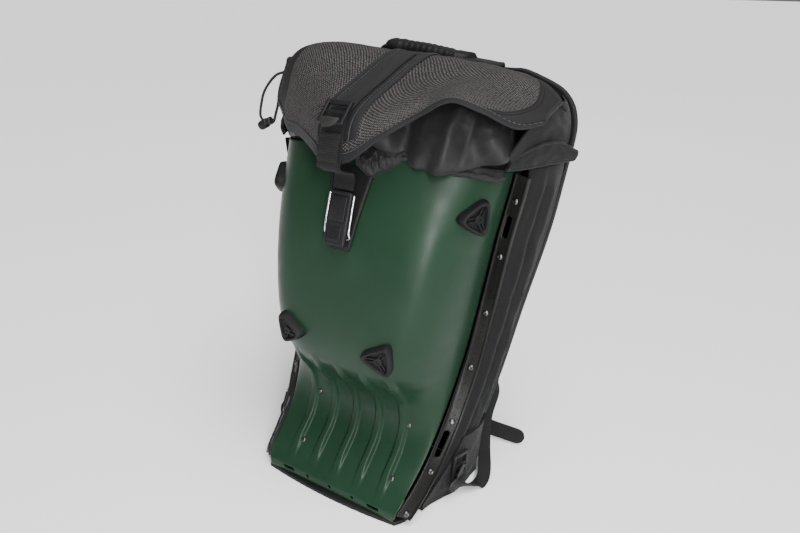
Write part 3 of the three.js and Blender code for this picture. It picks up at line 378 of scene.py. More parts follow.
# Materials
class Nodes:
    # short ways to add shader nodes

    def __init__(self, name, colour, roughness, metallic=0.0):
        self.material = bpy.data.materials.new(name)
        self.material.use_nodes = True
        self.tree = self.material.node_tree
        self.shader = self.tree.nodes["Principled BSDF"]
        self.set(self.shader, "Base Color", (*colour, 1))
        self.set(self.shader, "Roughness", roughness)
        self.set(self.shader, "Metallic", metallic)

    def set(self, node, socket, value):
        node.inputs[socket].default_value = value

    def join(self, a, outName, b, inName):
        self.tree.links.new(a.outputs[outName], b.inputs[inName])

    def add(self, kind, **inputs):
        node = self.tree.nodes.new(kind)
        for key, value in inputs.items():
            node.inputs[key.replace("_", " ")].default_value = value
        return node

    def place(self, kind="Object", scale=(1, 1, 1), turn=0.0):
        source = self.add("ShaderNodeTexCoord")
        mapping = self.add("ShaderNodeMapping")
        mapping.inputs["Scale"].default_value = scale
        mapping.inputs["Rotation"].default_value = (0, 0, turn)
        self.join(source, kind, mapping, "Vector")
        return mapping

    def noise(self, size, detail=3.0, kind="Object", stretch=(1, 1, 1)):
        # size is the width of a blotch in metres
        node = self.add("ShaderNodeTexNoise", Scale=1 / size, Detail=detail)
        self.join(self.place(kind, stretch), "Vector", node, "Vector")
        return node

    def ramp(self, low, high, a, b, source, outName):
        node = self.add("ShaderNodeMapRange")
        for key, value in zip(("From Min", "From Max", "To Min", "To Max"), (low, high, a, b)):
            node.inputs[key].default_value = value
        self.join(source, outName, node, "Value")
        return node

    def blend(self, first, second, factor, outName="Result"):
        node = self.tree.nodes.new("ShaderNodeMix")
        node.data_type = "RGBA"
        node.inputs["A"].default_value = (*first, 1)
        node.inputs["B"].default_value = (*second, 1)
        self.tree.links.new(factor.outputs[outName], node.inputs["Factor"])
        return node

    def relief(self, source, outName, depth, before=None):
        # a bump of depth metres
        node = self.add("ShaderNodeBump", Distance=depth, Strength=1.0)
        self.join(source, outName, node, "Height")
        if before:
            self.join(before, "Normal", node, "Normal")
        self.join(node, "Normal", self.shader, "Normal")
        return node

    def sums(self, operation, a, aOut, b=None, bOut=None, value=0.0):
        node = self.tree.nodes.new("ShaderNodeMath")
        node.operation = operation
        self.tree.links.new(a.outputs[aOut], node.inputs[0])
        if b:
            self.tree.links.new(b.outputs[bOut], node.inputs[1])
        else:
            node.inputs[1].default_value = value
        return node


def colourSpread(n, dark, light, size, outTo="Base Color", detail=4.0):
    spots = n.noise(size, detail)
    spread = n.ramp(0.35, 0.65, 0, 1, spots, "Fac")
    tint = n.blend(dark, light, spread)
    n.join(tint, "Result", n.shader, outTo)
    return tint


def mouldedPlastic(name, dark, light, roughness, grain=0.00012, blotch=0.06, grainSize=0.0012, shine=0.16):
    n = Nodes(name, dark, roughness)
    n.set(n.shader, "Specular IOR Level", shine)
    colourSpread(n, dark, light, blotch)
    wear = n.noise(0.02, 6)
    rough = n.ramp(0.3, 0.7, roughness - 0.05, roughness + 0.07, wear, "Fac")
    n.join(rough, "Result", n.shader, "Roughness")
    fine = n.noise(grainSize, 2)
    soft = n.noise(0.03, 2)
    n.relief(fine, "Fac", grain, n.relief(soft, "Fac", grain * 2))
    return n.material


def wovenCloth(name, dark, light, thread, depth, roughness=0.85, sheen=0.05, creases=0.0, kind="UV"):
    # a plain weave: two crossed waves along the cloth
    n = Nodes(name, dark, roughness)
    spot = n.place(kind)
    both = []
    for direction in ("X", "Y"):
        wave = n.add("ShaderNodeTexWave", Scale=1 / thread / math.tau * 2, Distortion=0.6, Detail=1.0)
        wave.bands_direction = direction
        n.join(spot, "Vector", wave, "Vector")
        both.append(wave)
    weave = n.sums("MULTIPLY", both[0], "Fac", both[1], "Fac")
    fade = n.noise(0.05, 5)
    shade = n.sums("MULTIPLY", weave, "Value", fade, "Fac")
    tint = n.blend(dark, light, shade, "Value")
    n.join(tint, "Result", n.shader, "Base Color")
    n.set(n.shader, "Sheen Weight", sheen)
    n.set(n.shader, "Sheen Roughness", 0.4)
    n.set(n.shader, "Specular IOR Level", 0.16)
    if creases:
        folds = n.noise(0.02, 5)
        n.relief(weave, "Value", depth, n.relief(folds, "Fac", creases))
    else:
        n.relief(weave, "Value", depth)
    return n.material


def metal(name, colour, roughness):
    n = Nodes(name, colour, roughness, 1.0)
    scratches = n.noise(0.0008, 3, stretch=(1, 6, 1))
    rough = n.ramp(0.3, 0.7, roughness * 0.7, roughness * 1.4, scratches, "Fac")
    n.join(rough, "Result", n.shader, "Roughness")
    n.relief(scratches, "Fac", 0.00002)
    return n.material


shellGreen = mouldedPlastic("shellGreen", (0.0092, 0.0265, 0.0142), (0.0108, 0.0305, 0.0165), 0.34,
                            grain=0.00006, shine=0.15)
railBlack = mouldedPlastic("railBlack", (0.006, 0.006, 0.006), (0.010, 0.010, 0.009), 0.34)
softRubber = mouldedPlastic("softRubber", (0.005, 0.005, 0.0055), (0.009, 0.009, 0.009), 0.55, 0.00015)
buckleBlack = mouldedPlastic("buckleBlack", (0.008, 0.008, 0.009), (0.015, 0.015, 0.016), 0.4)
tabGrey = mouldedPlastic("tabGrey", (0.018, 0.018, 0.0175), (0.027, 0.027, 0.026), 0.5)
packCloth = wovenCloth("packCloth", (0.006, 0.006, 0.0065), (0.019, 0.019, 0.020), 0.0011, 0.0002,
                       creases=0.0007)
bandCloth = wovenCloth("bandCloth", (0.0065, 0.0065, 0.0068), (0.021, 0.020, 0.021), 0.0009, 0.0002,
                       creases=0.0008)
crumpledNylon = wovenCloth("crumpledNylon", (0.014, 0.0135, 0.014), (0.030, 0.029, 0.030), 0.0006, 0.00008,
                           roughness=0.44, sheen=0.03, creases=0.0016)
strapWeb = wovenCloth("strapWeb", (0.006, 0.006, 0.0065), (0.028, 0.028, 0.029), 0.0016, 0.0004,
                      roughness=0.7)
bindingTape = wovenCloth("bindingTape", (0.009, 0.009, 0.010), (0.030, 0.030, 0.032), 0.0010, 0.0002,
                         roughness=0.75)
brightWire = metal("brightWire", (0.78, 0.79, 0.80), 0.12)
darkScrew = metal("darkScrew", (0.10, 0.10, 0.105), 0.32)
print("materials ready")


# Sizes shared by several pieces, in millimetres; the rows further down are shares of them
packDepth = 200
baseCentre = 0.34
shellHeight = 410
shellHalf = 140
backHeight = 481
backHalf = 175
footThick = 5.4
gap = 0.4
bothSides = (("left", -1), ("right", 1))


def yAt(share):
    return (share - baseCentre) * packDepth


def metres(x, y, z):
    return Vector((x * mm, y * mm, z * mm))


# Shell: rows are levels, height of shellHeight, half of shellHalf, front and edge of packDepth
shellRows = table(
    "height half front edge square",
    (0.015, 0.645, -0.045, -0.045, 6),
    (0.040, 0.650, -0.035, -0.040, 6),
    (0.060, 0.670, 0.010, 0.000, 6),
    (0.100, 0.695, 0.088, 0.108, 6),
    (0.150, 0.715, 0.195, 0.220, 6),
    (0.190, 0.730, 0.240, 0.280, 5),
    (0.230, 0.745, 0.260, 0.330, 5),
    (0.270, 0.757, 0.250, 0.380, 4.4),
    (0.310, 0.767, 0.220, 0.425, 3.8),
    (0.345, 0.776, 0.165, 0.465, 3.4),
    (0.380, 0.786, 0.100, 0.495, 3.4),
    (0.420, 0.800, 0.055, 0.525, 3.8),
    (0.515, 0.830, 0.025, 0.575, 5),
    (0.650, 0.875, 0.060, 0.615, 5.4),
    (0.800, 0.932, 0.125, 0.638, 4.4),
    (0.940, 1.000, 0.225, 0.640, 2.7),
    (1.000, 1.020, 0.285, 0.645, 2.3),
)
shellLook = {"wall": 3, "across": 110, "up": 150, "coveShare": 0.72, "rimDrop": 0.045, "low": 0.015}
ribs = {"pitch": 32.5, "sides": 2, "crest": 2.6, "foot": 6.8, "height": 4.5,
        "from": 0.045, "to": 0.43, "fade": 0.07}
coveHalf = 80


def ribLift(x, height):
    rise = ease((height - ribs["from"]) / ribs["fade"]) * ease((ribs["to"] - height) / ribs["fade"])
    nearest = clamp(round(x / ribs["pitch"]), -ribs["sides"], ribs["sides"]) * ribs["pitch"]
    away = abs(x - nearest)
    body = 1 - ease((away - ribs["crest"]) / (ribs["foot"] - ribs["crest"]))
    return ribs["height"] * rise * body


def shellFace(x, out, height):
    half = shellHalf * readRows(shellRows, "height", "half", height)
    far = abs(x) + (half - abs(x)) * out
    front = readRows(shellRows, "height", "front", height)
    edge = readRows(shellRows, "height", "edge", height)
    square = readRows(shellRows, "height", "square", height)
    share = min(far / half, 1)
    turn = 1 - math.sqrt(max(1 - share ** square, 0))
    drop = shellLook["rimDrop"] * share ** 2 * height ** 6
    return metres(math.copysign(far, x), yAt(mix(front, edge, turn)), shellHeight * height * (1 - drop))


def shellOut(x, out, height):
    step = 0.004
    inner = min(out, 1 - step * 4)
    side = math.copysign(1, x)
    if out > 0:
        across = (shellFace(x, inner + step * 4, height) - shellFace(x, inner, height)) * side
    else:
        across = shellFace(x + 0.3, 0, height) - shellFace(x - 0.3, 0, height)
    up = shellFace(x, out, min(height + step, 1)) - shellFace(x, out, max(height - step, 0.015))
    return across.cross(up).normalized()


def shellAt(x, height, lift):
    # a point over the front face, lift in millimetres
    return shellFace(x, 0, height) + shellOut(x, 0, height) * (ribLift(x, height) + lift) * mm


def shellColumn(u):
    # u from -1 to 1: the recess first, then closer and closer to the edge
    share = shellLook["coveShare"]
    far = abs(u)
    if far <= share:
        return math.copysign(max(coveHalf * far / share, 1e-4), u), 0.0
    t = (far - share) / (1 - share)
    return math.copysign(coveHalf, u), math.sin(t * math.pi / 2)


def shellPlace(u, v):
    x, out = shellColumn(u * 2 - 1)
    height = mix(shellLook["low"], 1, v)
    return shellFace(x, out, height) + shellOut(x, out, height) * ribLift(x, height) * (1 - out) * mm


# the flat lip at the foot: slots near its ends and three holes between them
lip = {"slot": (17, 24, 4), "soften": 1.4, "away": 62, "hole": 2.3, "deep": 24, "spacing": 33, "level": 12}


def buildShell():
    us = evenly(shellLook["across"] * 2)
    vs = evenly(shellLook["up"])
    shell = sheetOf("hardShell", us, vs, shellPlace, shellGreen, shellLook["wall"] * mm, (0.3, 0.41),
                    sharp=50)
    applyAll(shell)
    bm = bmesh.new()
    front = yAt(shellRows[0]["front"])
    for side in (-1, 1):
        at = metres(side * lip["away"], front, lip["level"])
        block(bm, [s * mm for s in lip["slot"]], at, lip["soften"] * mm, 3)
    for k in (-1, 0, 1):
        at = metres(k * lip["spacing"], front, lip["level"])
        bmesh.ops.create_cone(bm, cap_ends=True, segments=20, radius1=lip["hole"] * mm,
                              radius2=lip["hole"] * mm, depth=lip["deep"] * mm,
                              matrix=Matrix.Translation(at) @ Matrix.Rotation(math.pi / 2, 4, "X"))
    cutFrom(shell, newObject("lipCutter", bm, shellGreen))
    return settle(shell, "shell", "shell")


buildShell()
print("shell ready")

# Rails: rows give the direction of the rail's width at each height of the shell
railRows = table(
    "height out back up",
    (0.04, 0.66, 0.50, -0.56),
    (0.15, 0.72, 0.42, -0.52),
    (0.27, 0.84, 0.36, -0.32),
    (0.42, 0.94, 0.22, -0.05),
    (0.65, 0.97, -0.08, 0.12),
    (0.965, 0.95, -0.20, 0.24),
)
railLook = {"width": 18, "thick": 3, "bead": 1.6, "inner": 0.7, "top": 0.992, "bottom": 0.04, "along": 150}
screwLevels = [0.055, 0.135, 0.255, 0.40, 0.56, 0.73, 0.905]
railSlots = [(0.785, 0.855), (0.165, 0.23)]
slotLook = {"wide": 6.5, "deep": 16, "soften": 2.6, "across": 0.42}
railDots = {"pitch": 0.021, "size": 1.1, "fromScrew": 0.014, "fromSlot": 0.012}


def railFrame(side, height):
    step = 0.006
    x = side * coveHalf
    along = (shellFace(x, 1, min(height + step, 1)) - shellFace(x, 1, height - step)).normalized()
    width = Vector([readRows(railRows, "height", column, height) for column in ("out", "back", "up")])
    width.x *= side
    width = (width - along * width.dot(along)).normalized()
    front = (width.cross(along) * side).normalized()
    start = shellFace(x, 1, height)
    start.x += side * (gap * 4 + max(0, side * front.x) * railLook["thick"]) * mm
    return start, width, front, along


def railAt(side, height, across, lift):
    start, width, front, _ = railFrame(side, height)
    return start + width * (across * railLook["width"] * mm) + front * (lift * mm)


def railSeat(side, height, across, lift):
    # a seat on the rail's face, turned along the rail
    _, _, front, along = railFrame(side, height)
    return basis(railAt(side, height, across, lift), along, front)


def railProfile(u):
    # height of the face over the rail: thin inner line, flat middle, bead at the outer edge
    inner = railLook["inner"] * (1 - ease(abs(u - 0.09) / 0.05))
    bead = railLook["bead"] * ease((u - 0.83) / 0.05) * (1 - 0.7 * ease((u - 0.95) / 0.05))
    return inner + bead


def buildRail(side, label):
    us = [0, 0.03, 0.06, 0.09, 0.12, 0.15, 0.3, 0.5, 0.7, 0.8, 0.83, 0.855, 0.88, 0.92, 0.95, 0.975, 1]
    vs = evenly(railLook["along"], railLook["bottom"], railLook["top"])

    def place(u, v, w):
        lift = railProfile(u) if w else -railLook["thick"]
        return railAt(side, v, u, lift)

    rail = slab(f"edgeRail_{label}", us, vs, place, railBlack, (0.018, 0.42))
    bm = bmesh.new()
    for low, high in railSlots:
        length = (railAt(side, high, 0.5, 0) - railAt(side, low, 0.5, 0)).length
        size = (length, slotLook["wide"] * mm, slotLook["deep"] * mm)
        fresh = freshCorners(bm, lambda bm: block(bm, size, (0, 0, 0), slotLook["soften"] * mm, 4))
        seat = railSeat(side, (low + high) / 2, slotLook["across"], 0)
        bmesh.ops.transform(bm, matrix=seat, verts=fresh)
    cutFrom(rail, newObject("railCutter", bm, railBlack))
    return settle(rail, "rail", f"rail_{label}")


def dotPlaces():
    places = []
    level = railLook["bottom"] + railDots["pitch"]
    while level < railLook["top"] - railDots["pitch"]:
        free = railDots["fromSlot"]
        clear = all(abs(level - at) > railDots["fromScrew"] for at in screwLevels)
        clear = clear and all(level < low - free or level > high + free for low, high in railSlots)
        if clear:
            places += [railSeat(side, level, 0.5, 0) for side in (-1, 1)]
        level += railDots["pitch"]
    return places


def drawDot(bm):
    # a small raised eyelet
    r = railDots["size"] * mm
    profile = [(0, 0.05), (0.5, 0.05), (0.7, 0.5), (1, 0.45), (1.15, -0.3)]
    turned(bm, [(share * r, z * mm) for share, z in profile], 12)


screwLook = {"radius": 3.75, "dome": 1.9, "shank": 1.8, "length": 3.4, "socket": 1.5}


def drawScrew(bm, look=screwLook):
    # a domed head with a socket, and its shank
    r = look["radius"]
    d = look["dome"]
    socket = look["socket"]
    shank = look["shank"]
    profile = [(0, d * 0.35), (socket * 0.9, d * 0.4), (socket, d * 0.95), (socket * 1.25, d),
               (r * 0.7, d * 0.8), (r * 0.93, d * 0.42), (r, d * 0.1), (r * 0.97, -0.1),
               (shank, -0.1), (shank, -look["length"]), (0, -look["length"])]
    turned(bm, [(away * mm, z * mm) for away, z in profile], 20)


for label, side in bothSides:
    buildRail(side, label)
screwPlaces = [railSeat(side, level, 0.5, gap) for side in (-1, 1) for level in screwLevels]
screwNodes = [f"rail_screw_{label}_{i}" for label in ("left", "right") for i in range(1, 8)]
settle(copies("railScrews", drawScrew, screwPlaces, darkScrew), "screw", *screwNodes)
settle(copies("railEyelets", drawDot, dotPlaces(), railBlack), "rail")

rivetLook = {"radius": 3.4, "dome": 1.6, "shank": 1.5, "length": 2.0, "socket": 0.9}
rivetAcross = ribs["pitch"] * ribs["sides"]
rivetSpots = [(side * rivetAcross + 7, height) for height in (0.225, 0.098) for side in (-1, 1)]


def shellSeat(x, height, lift):
    across = shellFace(x + 2, 0, height) - shellFace(x - 2, 0, height)
    return basis(shellAt(x, height, lift), across, shellOut(x, 0, height))


rivetPlaces = [shellSeat(x, height, 0.2) for x, height in rivetSpots]
rivets = copies("shellRivets", lambda bm: drawScrew(bm, rivetLook), rivetPlaces, darkScrew)
settle(rivets, "screw", *[f"shell_rivet_{i}" for i in range(1, 5)])
print("rails and screws ready")

# Rubber mounts: rounded triangles with a raised rim, three spokes and a screw
mountLook = {"corner": 22, "flat": 14, "round": 8, "height": 8.6, "sunk": 3.8, "boss": 4.8, "sides": 72}
spokeLook = {"size": (9.5, 1.7, 2.6), "out": 8.2, "apart": 2.0, "up": 1.1, "soften": 0.5}
mountSpots = [("lower_left", -1, 0.43, 0.492), ("lower_right", 1, 0.43, 0.492),
              ("upper_left", -1, 0.886, 0.868), ("upper_right", 1, 0.886, 0.868)]


def triangleReach(turn):
    third = math.tau / 3
    away = abs(turn - round(turn / third) * third)
    straight = mountLook["flat"] / math.cos(third / 2 - away)
    power = mountLook["round"]
    return (straight ** -power + mountLook["corner"] ** -power) ** (-1 / power)


def drawMount(bm):
    top = mountLook["height"]
    floor = top - mountLook["sunk"]
    profile = [(0, -3), (1.0, -3), (1.0, top * 0.15), (1.0, top * 0.3), (0.985, top * 0.55),
               (0.955, top * 0.8), (0.92, top * 0.95), (0.87, top), (0.80, top), (0.76, top * 0.97),
               (0.73, top * 0.9), (0.70, floor * 1.1), (0.68, floor), (0.45, floor), (0.2, floor),
               (0, floor)]
    fresh = turned(bm, [(r, z * mm) for r, z in profile], mountLook["sides"])
    for vert in fresh:
        share = math.hypot(vert.co.x, vert.co.y)
        turn = math.atan2(vert.co.y, vert.co.x)
        reach = share * mix(mountLook["flat"] * 1.2, triangleReach(turn), ease(share * 2 - 0.5)) * mm
        vert.co.x = math.cos(turn) * reach
        vert.co.y = math.sin(turn) * reach
    for k in range(3):
        turn = Matrix.Rotation(math.tau / 3 * k, 4, "Z")
        for lean in (-1, 1):
            size = [s * mm for s in spokeLook["size"]]
            centre = metres(spokeLook["out"], lean * spokeLook["apart"], floor + spokeLook["up"])
            fresh = freshCorners(bm, lambda bm: block(bm, size, centre, spokeLook["soften"] * mm))
            bmesh.ops.transform(bm, matrix=turn, verts=fresh)
    boss = mountLook["boss"]
    profile = [(0, top - 1.2), (boss * 0.45, top - 1.2), (boss * 0.5, top - 0.3), (boss * 0.85, top - 0.5),
               (boss, top - 1.4), (boss, floor * 0.9), (0, floor * 0.9)]
    turned(bm, [(r * mm, z * mm) for r, z in profile], 24)


for name, side, share, height in mountSpots:
    seat = shellSeat(side * share * shellHalf, height, 0)
    turn = Matrix.Rotation(math.pi if side > 0 else 0, 4, "Z")
    mount = copies(f"rubberMount_{name}", drawMount, [seat @ turn], softRubber)
    settle(mount, "rubber", f"mount_{name}")
print("mounts ready")

# Base: rows give the half width of the flat foot, back of packDepth, half of shellHalf
baseRows = table(
    "back half",
    (-0.04, 0.66),
    (0.02, 0.71),
    (0.15, 0.735),
    (0.45, 0.765),
    (0.62, 0.76),
    (0.67, 0.70),
)
baseLook = {"thick": footThick, "bow": 0.03, "soften": 1.2}


def buildBase():
    first = baseRows[0]["back"]
    sides = []
    for back in evenly(24, first, baseRows[-1]["back"]):
        sides.append((shellHalf * readRows(baseRows, "back", "half", back), yAt(back)))
    front = []
    for t in evenly(20, -1, 1)[1:-1]:
        front.append((t * sides[0][0], sides[0][1] - baseLook["bow"] * packDepth * (1 - t * t)))
    loop = front + sides + [(-x, y) for x, y in reversed(sides)]
    bm = bmesh.new()
    ring = bmesh.ops.create_circle(bm, cap_ends=True, segments=len(loop), radius=1)["verts"]
    for vert, (x, y) in zip(ring, loop):
        vert.co = metres(x, y, 0)
    raised = bmesh.ops.extrude_face_region(bm, geom=list(bm.faces))["geom"]
    upper = [part for part in raised if isinstance(part, bmesh.types.BMVert)]
    bmesh.ops.translate(bm, vec=(0, 0, baseLook["thick"] * mm), verts=upper)
    bmesh.ops.recalc_face_normals(bm, faces=bm.faces)
    level = [e for e in bm.edges if abs(e.verts[0].co.z - e.verts[1].co.z) < 1e-6]
    rims = [e for e in level if e.calc_face_angle(0) > math.radians(70)]
    softenEdges(bm, rims, baseLook["soften"] * mm, 3)
    return settle(newObject("flatFoot", bm, softRubber), "rubber", "base")


buildBase()

# Back panel: rows, height of backHeight, half of backHalf, back of packDepth
backRows = table(
    "height half back",
    (0.013, 0.63, 0.665),
    (0.16, 0.715, 0.73),
    (0.30, 0.79, 0.785),
    (0.45, 0.855, 0.845),
    (0.65, 0.945, 0.945),
    (0.80, 0.985, 1.01),
    (0.88, 1.00, 1.045),
    (0.92, 0.98, 1.055),
    (0.95, 0.93, 1.065),
    (0.975, 0.83, 1.075),
    (1.00, 0.62, 1.08),
)
backLook = {"thick": 12, "spine": 4, "across": 90, "up": 130, "crease": 1.1}


def backFace(share, height, depth):
    half = backHalf * readRows(backRows, "height", "half", height)
    hollow = backLook["spine"] * (1 - share ** 2) if depth > 0 else 0
    y = yAt(readRows(backRows, "height", "back", height)) - hollow + depth
    return metres(share * half, y, backHeight * height)


def closerToEnds(count, power=1.6):
    # from -1 to 1, closer together towards both ends
    return [math.copysign(1 - (1 - abs(t)) ** power, t) for t in evenly(count, -1, 1)]


def buildBackPanel():
    us = closerToEnds(backLook["across"])
    low = backRows[0]["height"]

    def place(u, v, w):
        height = mix(low, 1, v)
        thick = backLook["thick"] * mix(0.45, 1, math.sqrt(max(1 - abs(u) ** 10, 0)))
        rise = 1 - 0.35 * ease((v - 0.985) / 0.015)
        point = backFace(u, height, thick * rise if not w else 0)
        inside = (1 - abs(u) ** 4) * ease(v * 10) * ease((1 - v) * 10)
        point.y += wrinkle(point, 0.05, backLook["crease"] * mm, 3) * inside
        return point

    vs = [1 - (1 - t) ** 1.3 for t in evenly(backLook["up"])]
    panel = slab("backPanel", us, vs, place, packCloth, (0.35, 0.48), sharp=60)
    return settle(panel, "cloth", "back_panel")


buildBackPanel()


def outlineOfBack(depth):
    # the panel's edge from the left foot over the top to the right foot
    low = backRows[0]["height"]
    heights = evenly(60, low, 1)
    left = [backFace(-1, h, depth) for h in heights]
    top = [backFace(t, 1, depth) for t in evenly(16, -1, 1)[1:-1]]
    return left + top + [backFace(1, h, depth) for h in reversed(heights)]


for label, depth in (("front", 0.5), ("back", backLook["thick"] * 0.5)):
    line = evenLine(outlineOfBack(depth), 260)
    settle(cordAlong(f"backPiping_{label}", line, 3.6, (0, 1, 0), bindingTape, 0.011), "cloth")

# Gussets: fabric side walls between the rails and the back panel
gussetLook = {"bulge": 9, "top": 0.968, "inset": 0.72, "wall": 2.4, "across": 44, "up": 120, "crease": 2.2}


def gussetAt(side, height, share, lift):
    front = railFrame(side, height)[2]
    under = -railLook["thick"] - gap * 6
    start = railAt(side, height, gussetLook["inset"], under) + front * (lift * 0.2 * mm)
    level = start.z / mm / backHeight
    end = backFace(side * 0.985, clamp(level, backRows[0]["height"], 1), 0)
    end.y -= gap * 2 * mm
    point = start.lerp(end, share)
    bulge = gussetLook["bulge"] * math.sin(clamp(share, 0, 1) * math.pi) ** 0.8 * ease(level * 6)
    point.x += side * (bulge + lift) * mm
    point.z = start.z
    return point


# long folds beside the rail: place across, lean upwards, width and lift
gussetFolds = table(
    "at lean wide lift",
    (0.22, 0.02, 0.060, 2.2),
    (0.36, -0.02, 0.050, -2.2),
    (0.58, -0.06, 0.080, 2.4),
    (0.80, -0.02, 0.060, -1.6),
)


def buildGusset(side, label):
    low = railLook["bottom"]
    high = railLook["top"]

    def place(u, v):
        height = mix(low, high, v)
        point = gussetAt(side, height, u, 0)
        if v > 0.97:
            point.z = mix(point.z, gussetLook["top"] * shellHeight * mm, (v - 0.97) / 0.03)
        if v < 0.03:
            point.z = mix((footThick + gap) * mm, point.z, v / 0.03)
        loose = math.sin(u * math.pi) ** 0.7 * ease(v * 8) * ease((1 - v) * 12)
        stretched = Vector((point.x, point.y * 1.6, point.z * 0.45))
        crease = wrinkle(stretched, 0.022, gussetLook["crease"] * mm, 7)
        for fold in gussetFolds:
            away = (u - fold["at"] - fold["lean"] * v) / fold["wide"]
            crease += fold["lift"] * mm * math.exp(-away * away)
        point.x += side * crease * loose
        return point

    gusset = sheetOf(f"sideGusset_{label}", evenly(gussetLook["across"]), evenly(gussetLook["up"]), place,
                     packCloth, gussetLook["wall"] * mm, (0.1, 0.42), offset=0.0)
    applyAll(gusset)
    return settle(gusset, "cloth", f"gusset_{label}")


for label, side in bothSides:
    buildGusset(side, label)
print("base, back and gussets ready")

# Lid: rows are sections across it, with y of packDepth and z a share of the lid's rise above its base
lidRows = table(
    "at backY backZ crestY crestZ midY midZ browY browZ hemY hemZ",
    (-1.00, 0.88, 0.66, 0.78, 0.78, 0.72, 0.62, 0.67, 0.44, 0.65, 0.28),
    (-0.85, 0.96, 0.84, 0.78, 0.94, 0.64, 0.78, 0.57, 0.50, 0.54, 0.20),
    (-0.68, 1.00, 0.84, 0.78, 1.01, 0.58, 0.83, 0.46, 0.50, 0.40, 0.12),
    (-0.48, 1.01, 0.82, 0.79, 1.01, 0.53, 0.82, 0.36, 0.50, 0.29, 0.13),
    (-0.26, 1.01, 0.81, 0.80, 0.98, 0.48, 0.79, 0.22, 0.49, 0.15, 0.10),
    (-0.085, 1.01, 0.80, 0.79, 0.96, 0.44, 0.74, 0.13, 0.46, 0.05, 0.05),
    (0.085, 1.01, 0.80, 0.79, 0.95, 0.43, 0.73, 0.12, 0.46, 0.05, 0.06),
    (0.26, 1.01, 0.80, 0.78, 0.94, 0.42, 0.74, 0.16, 0.54, 0.085, 0.29),
    (0.43, 1.01, 0.80, 0.76, 0.92, 0.44, 0.78, 0.25, 0.66, 0.18, 0.51),
    (0.60, 1.00, 0.78, 0.76, 0.89, 0.48, 0.82, 0.29, 0.76, 0.22, 0.69),
    (0.77, 0.97, 0.76, 0.76, 0.83, 0.51, 0.77, 0.34, 0.70, 0.28, 0.61),
    (0.91, 0.92, 0.65, 0.76, 0.72, 0.58, 0.65, 0.46, 0.57, 0.42, 0.45),
    (1.00, 0.88, 0.50, 0.78, 0.60, 0.68, 0.57, 0.59, 0.53, 0.56, 0.47),
)
lidLook = {"half": 176, "base": 400, "rise": 100, "thick": 3, "across": 150, "along": 70, "crease": 1.6,
           "hem": 0.055}
lidFolds = ["back", "crest", "mid", "brow", "hem"]
lidLines = {}


def lidLine(share):
    # the lid's section at a share of its half width, kept for the next call
    key = round(share, 5)
    if key not in lidLines:
        points = []
        for fold in lidFolds:
            level = lidLook["base"] + lidLook["rise"] * readRows(lidRows, "at", fold + "Z", share)
            back = yAt(readRows(lidRows, "at", fold + "Y", share))
            points.append(metres(share * lidLook["half"], back, level))
        lidLines[key] = points
    return lidLines[key]


def lidAt(share, along, lift):
    step = 0.02
    low = clamp(share - step, -1, 1)
    high = clamp(share + step, -1, 1)
    across = spline(lidLine(high), along) - spline(lidLine(low), along)
    line = lidLine(share)
    down = spline(line, min(along + step, 1)) - spline(line, max(along - step, 0))
    out = down.cross(across).normalized()
    return spline(line, along) + out * (lift * mm), out


def lidPlace(u, v):
    share = u * 2 - 1
    point, out = lidAt(share, v, 0)
    loose = ease(v * 5) * ease((1.02 - v) * 8) * ease((abs(share) - 0.1) * 8) * ease((1 - abs(share)) * 8)
    return point + out * wrinkle(point, 0.045, lidLook["crease"] * mm, 11) * loose


def buildLid(material):
    lid = sheetOf("lidFlap", evenly(lidLook["across"]), evenly(lidLook["along"]), lidPlace, material,
                  lidLook["thick"] * mm, (0.352, 0.21))
    applyAll(lid)
    return settle(lid, "mesh", "lid")


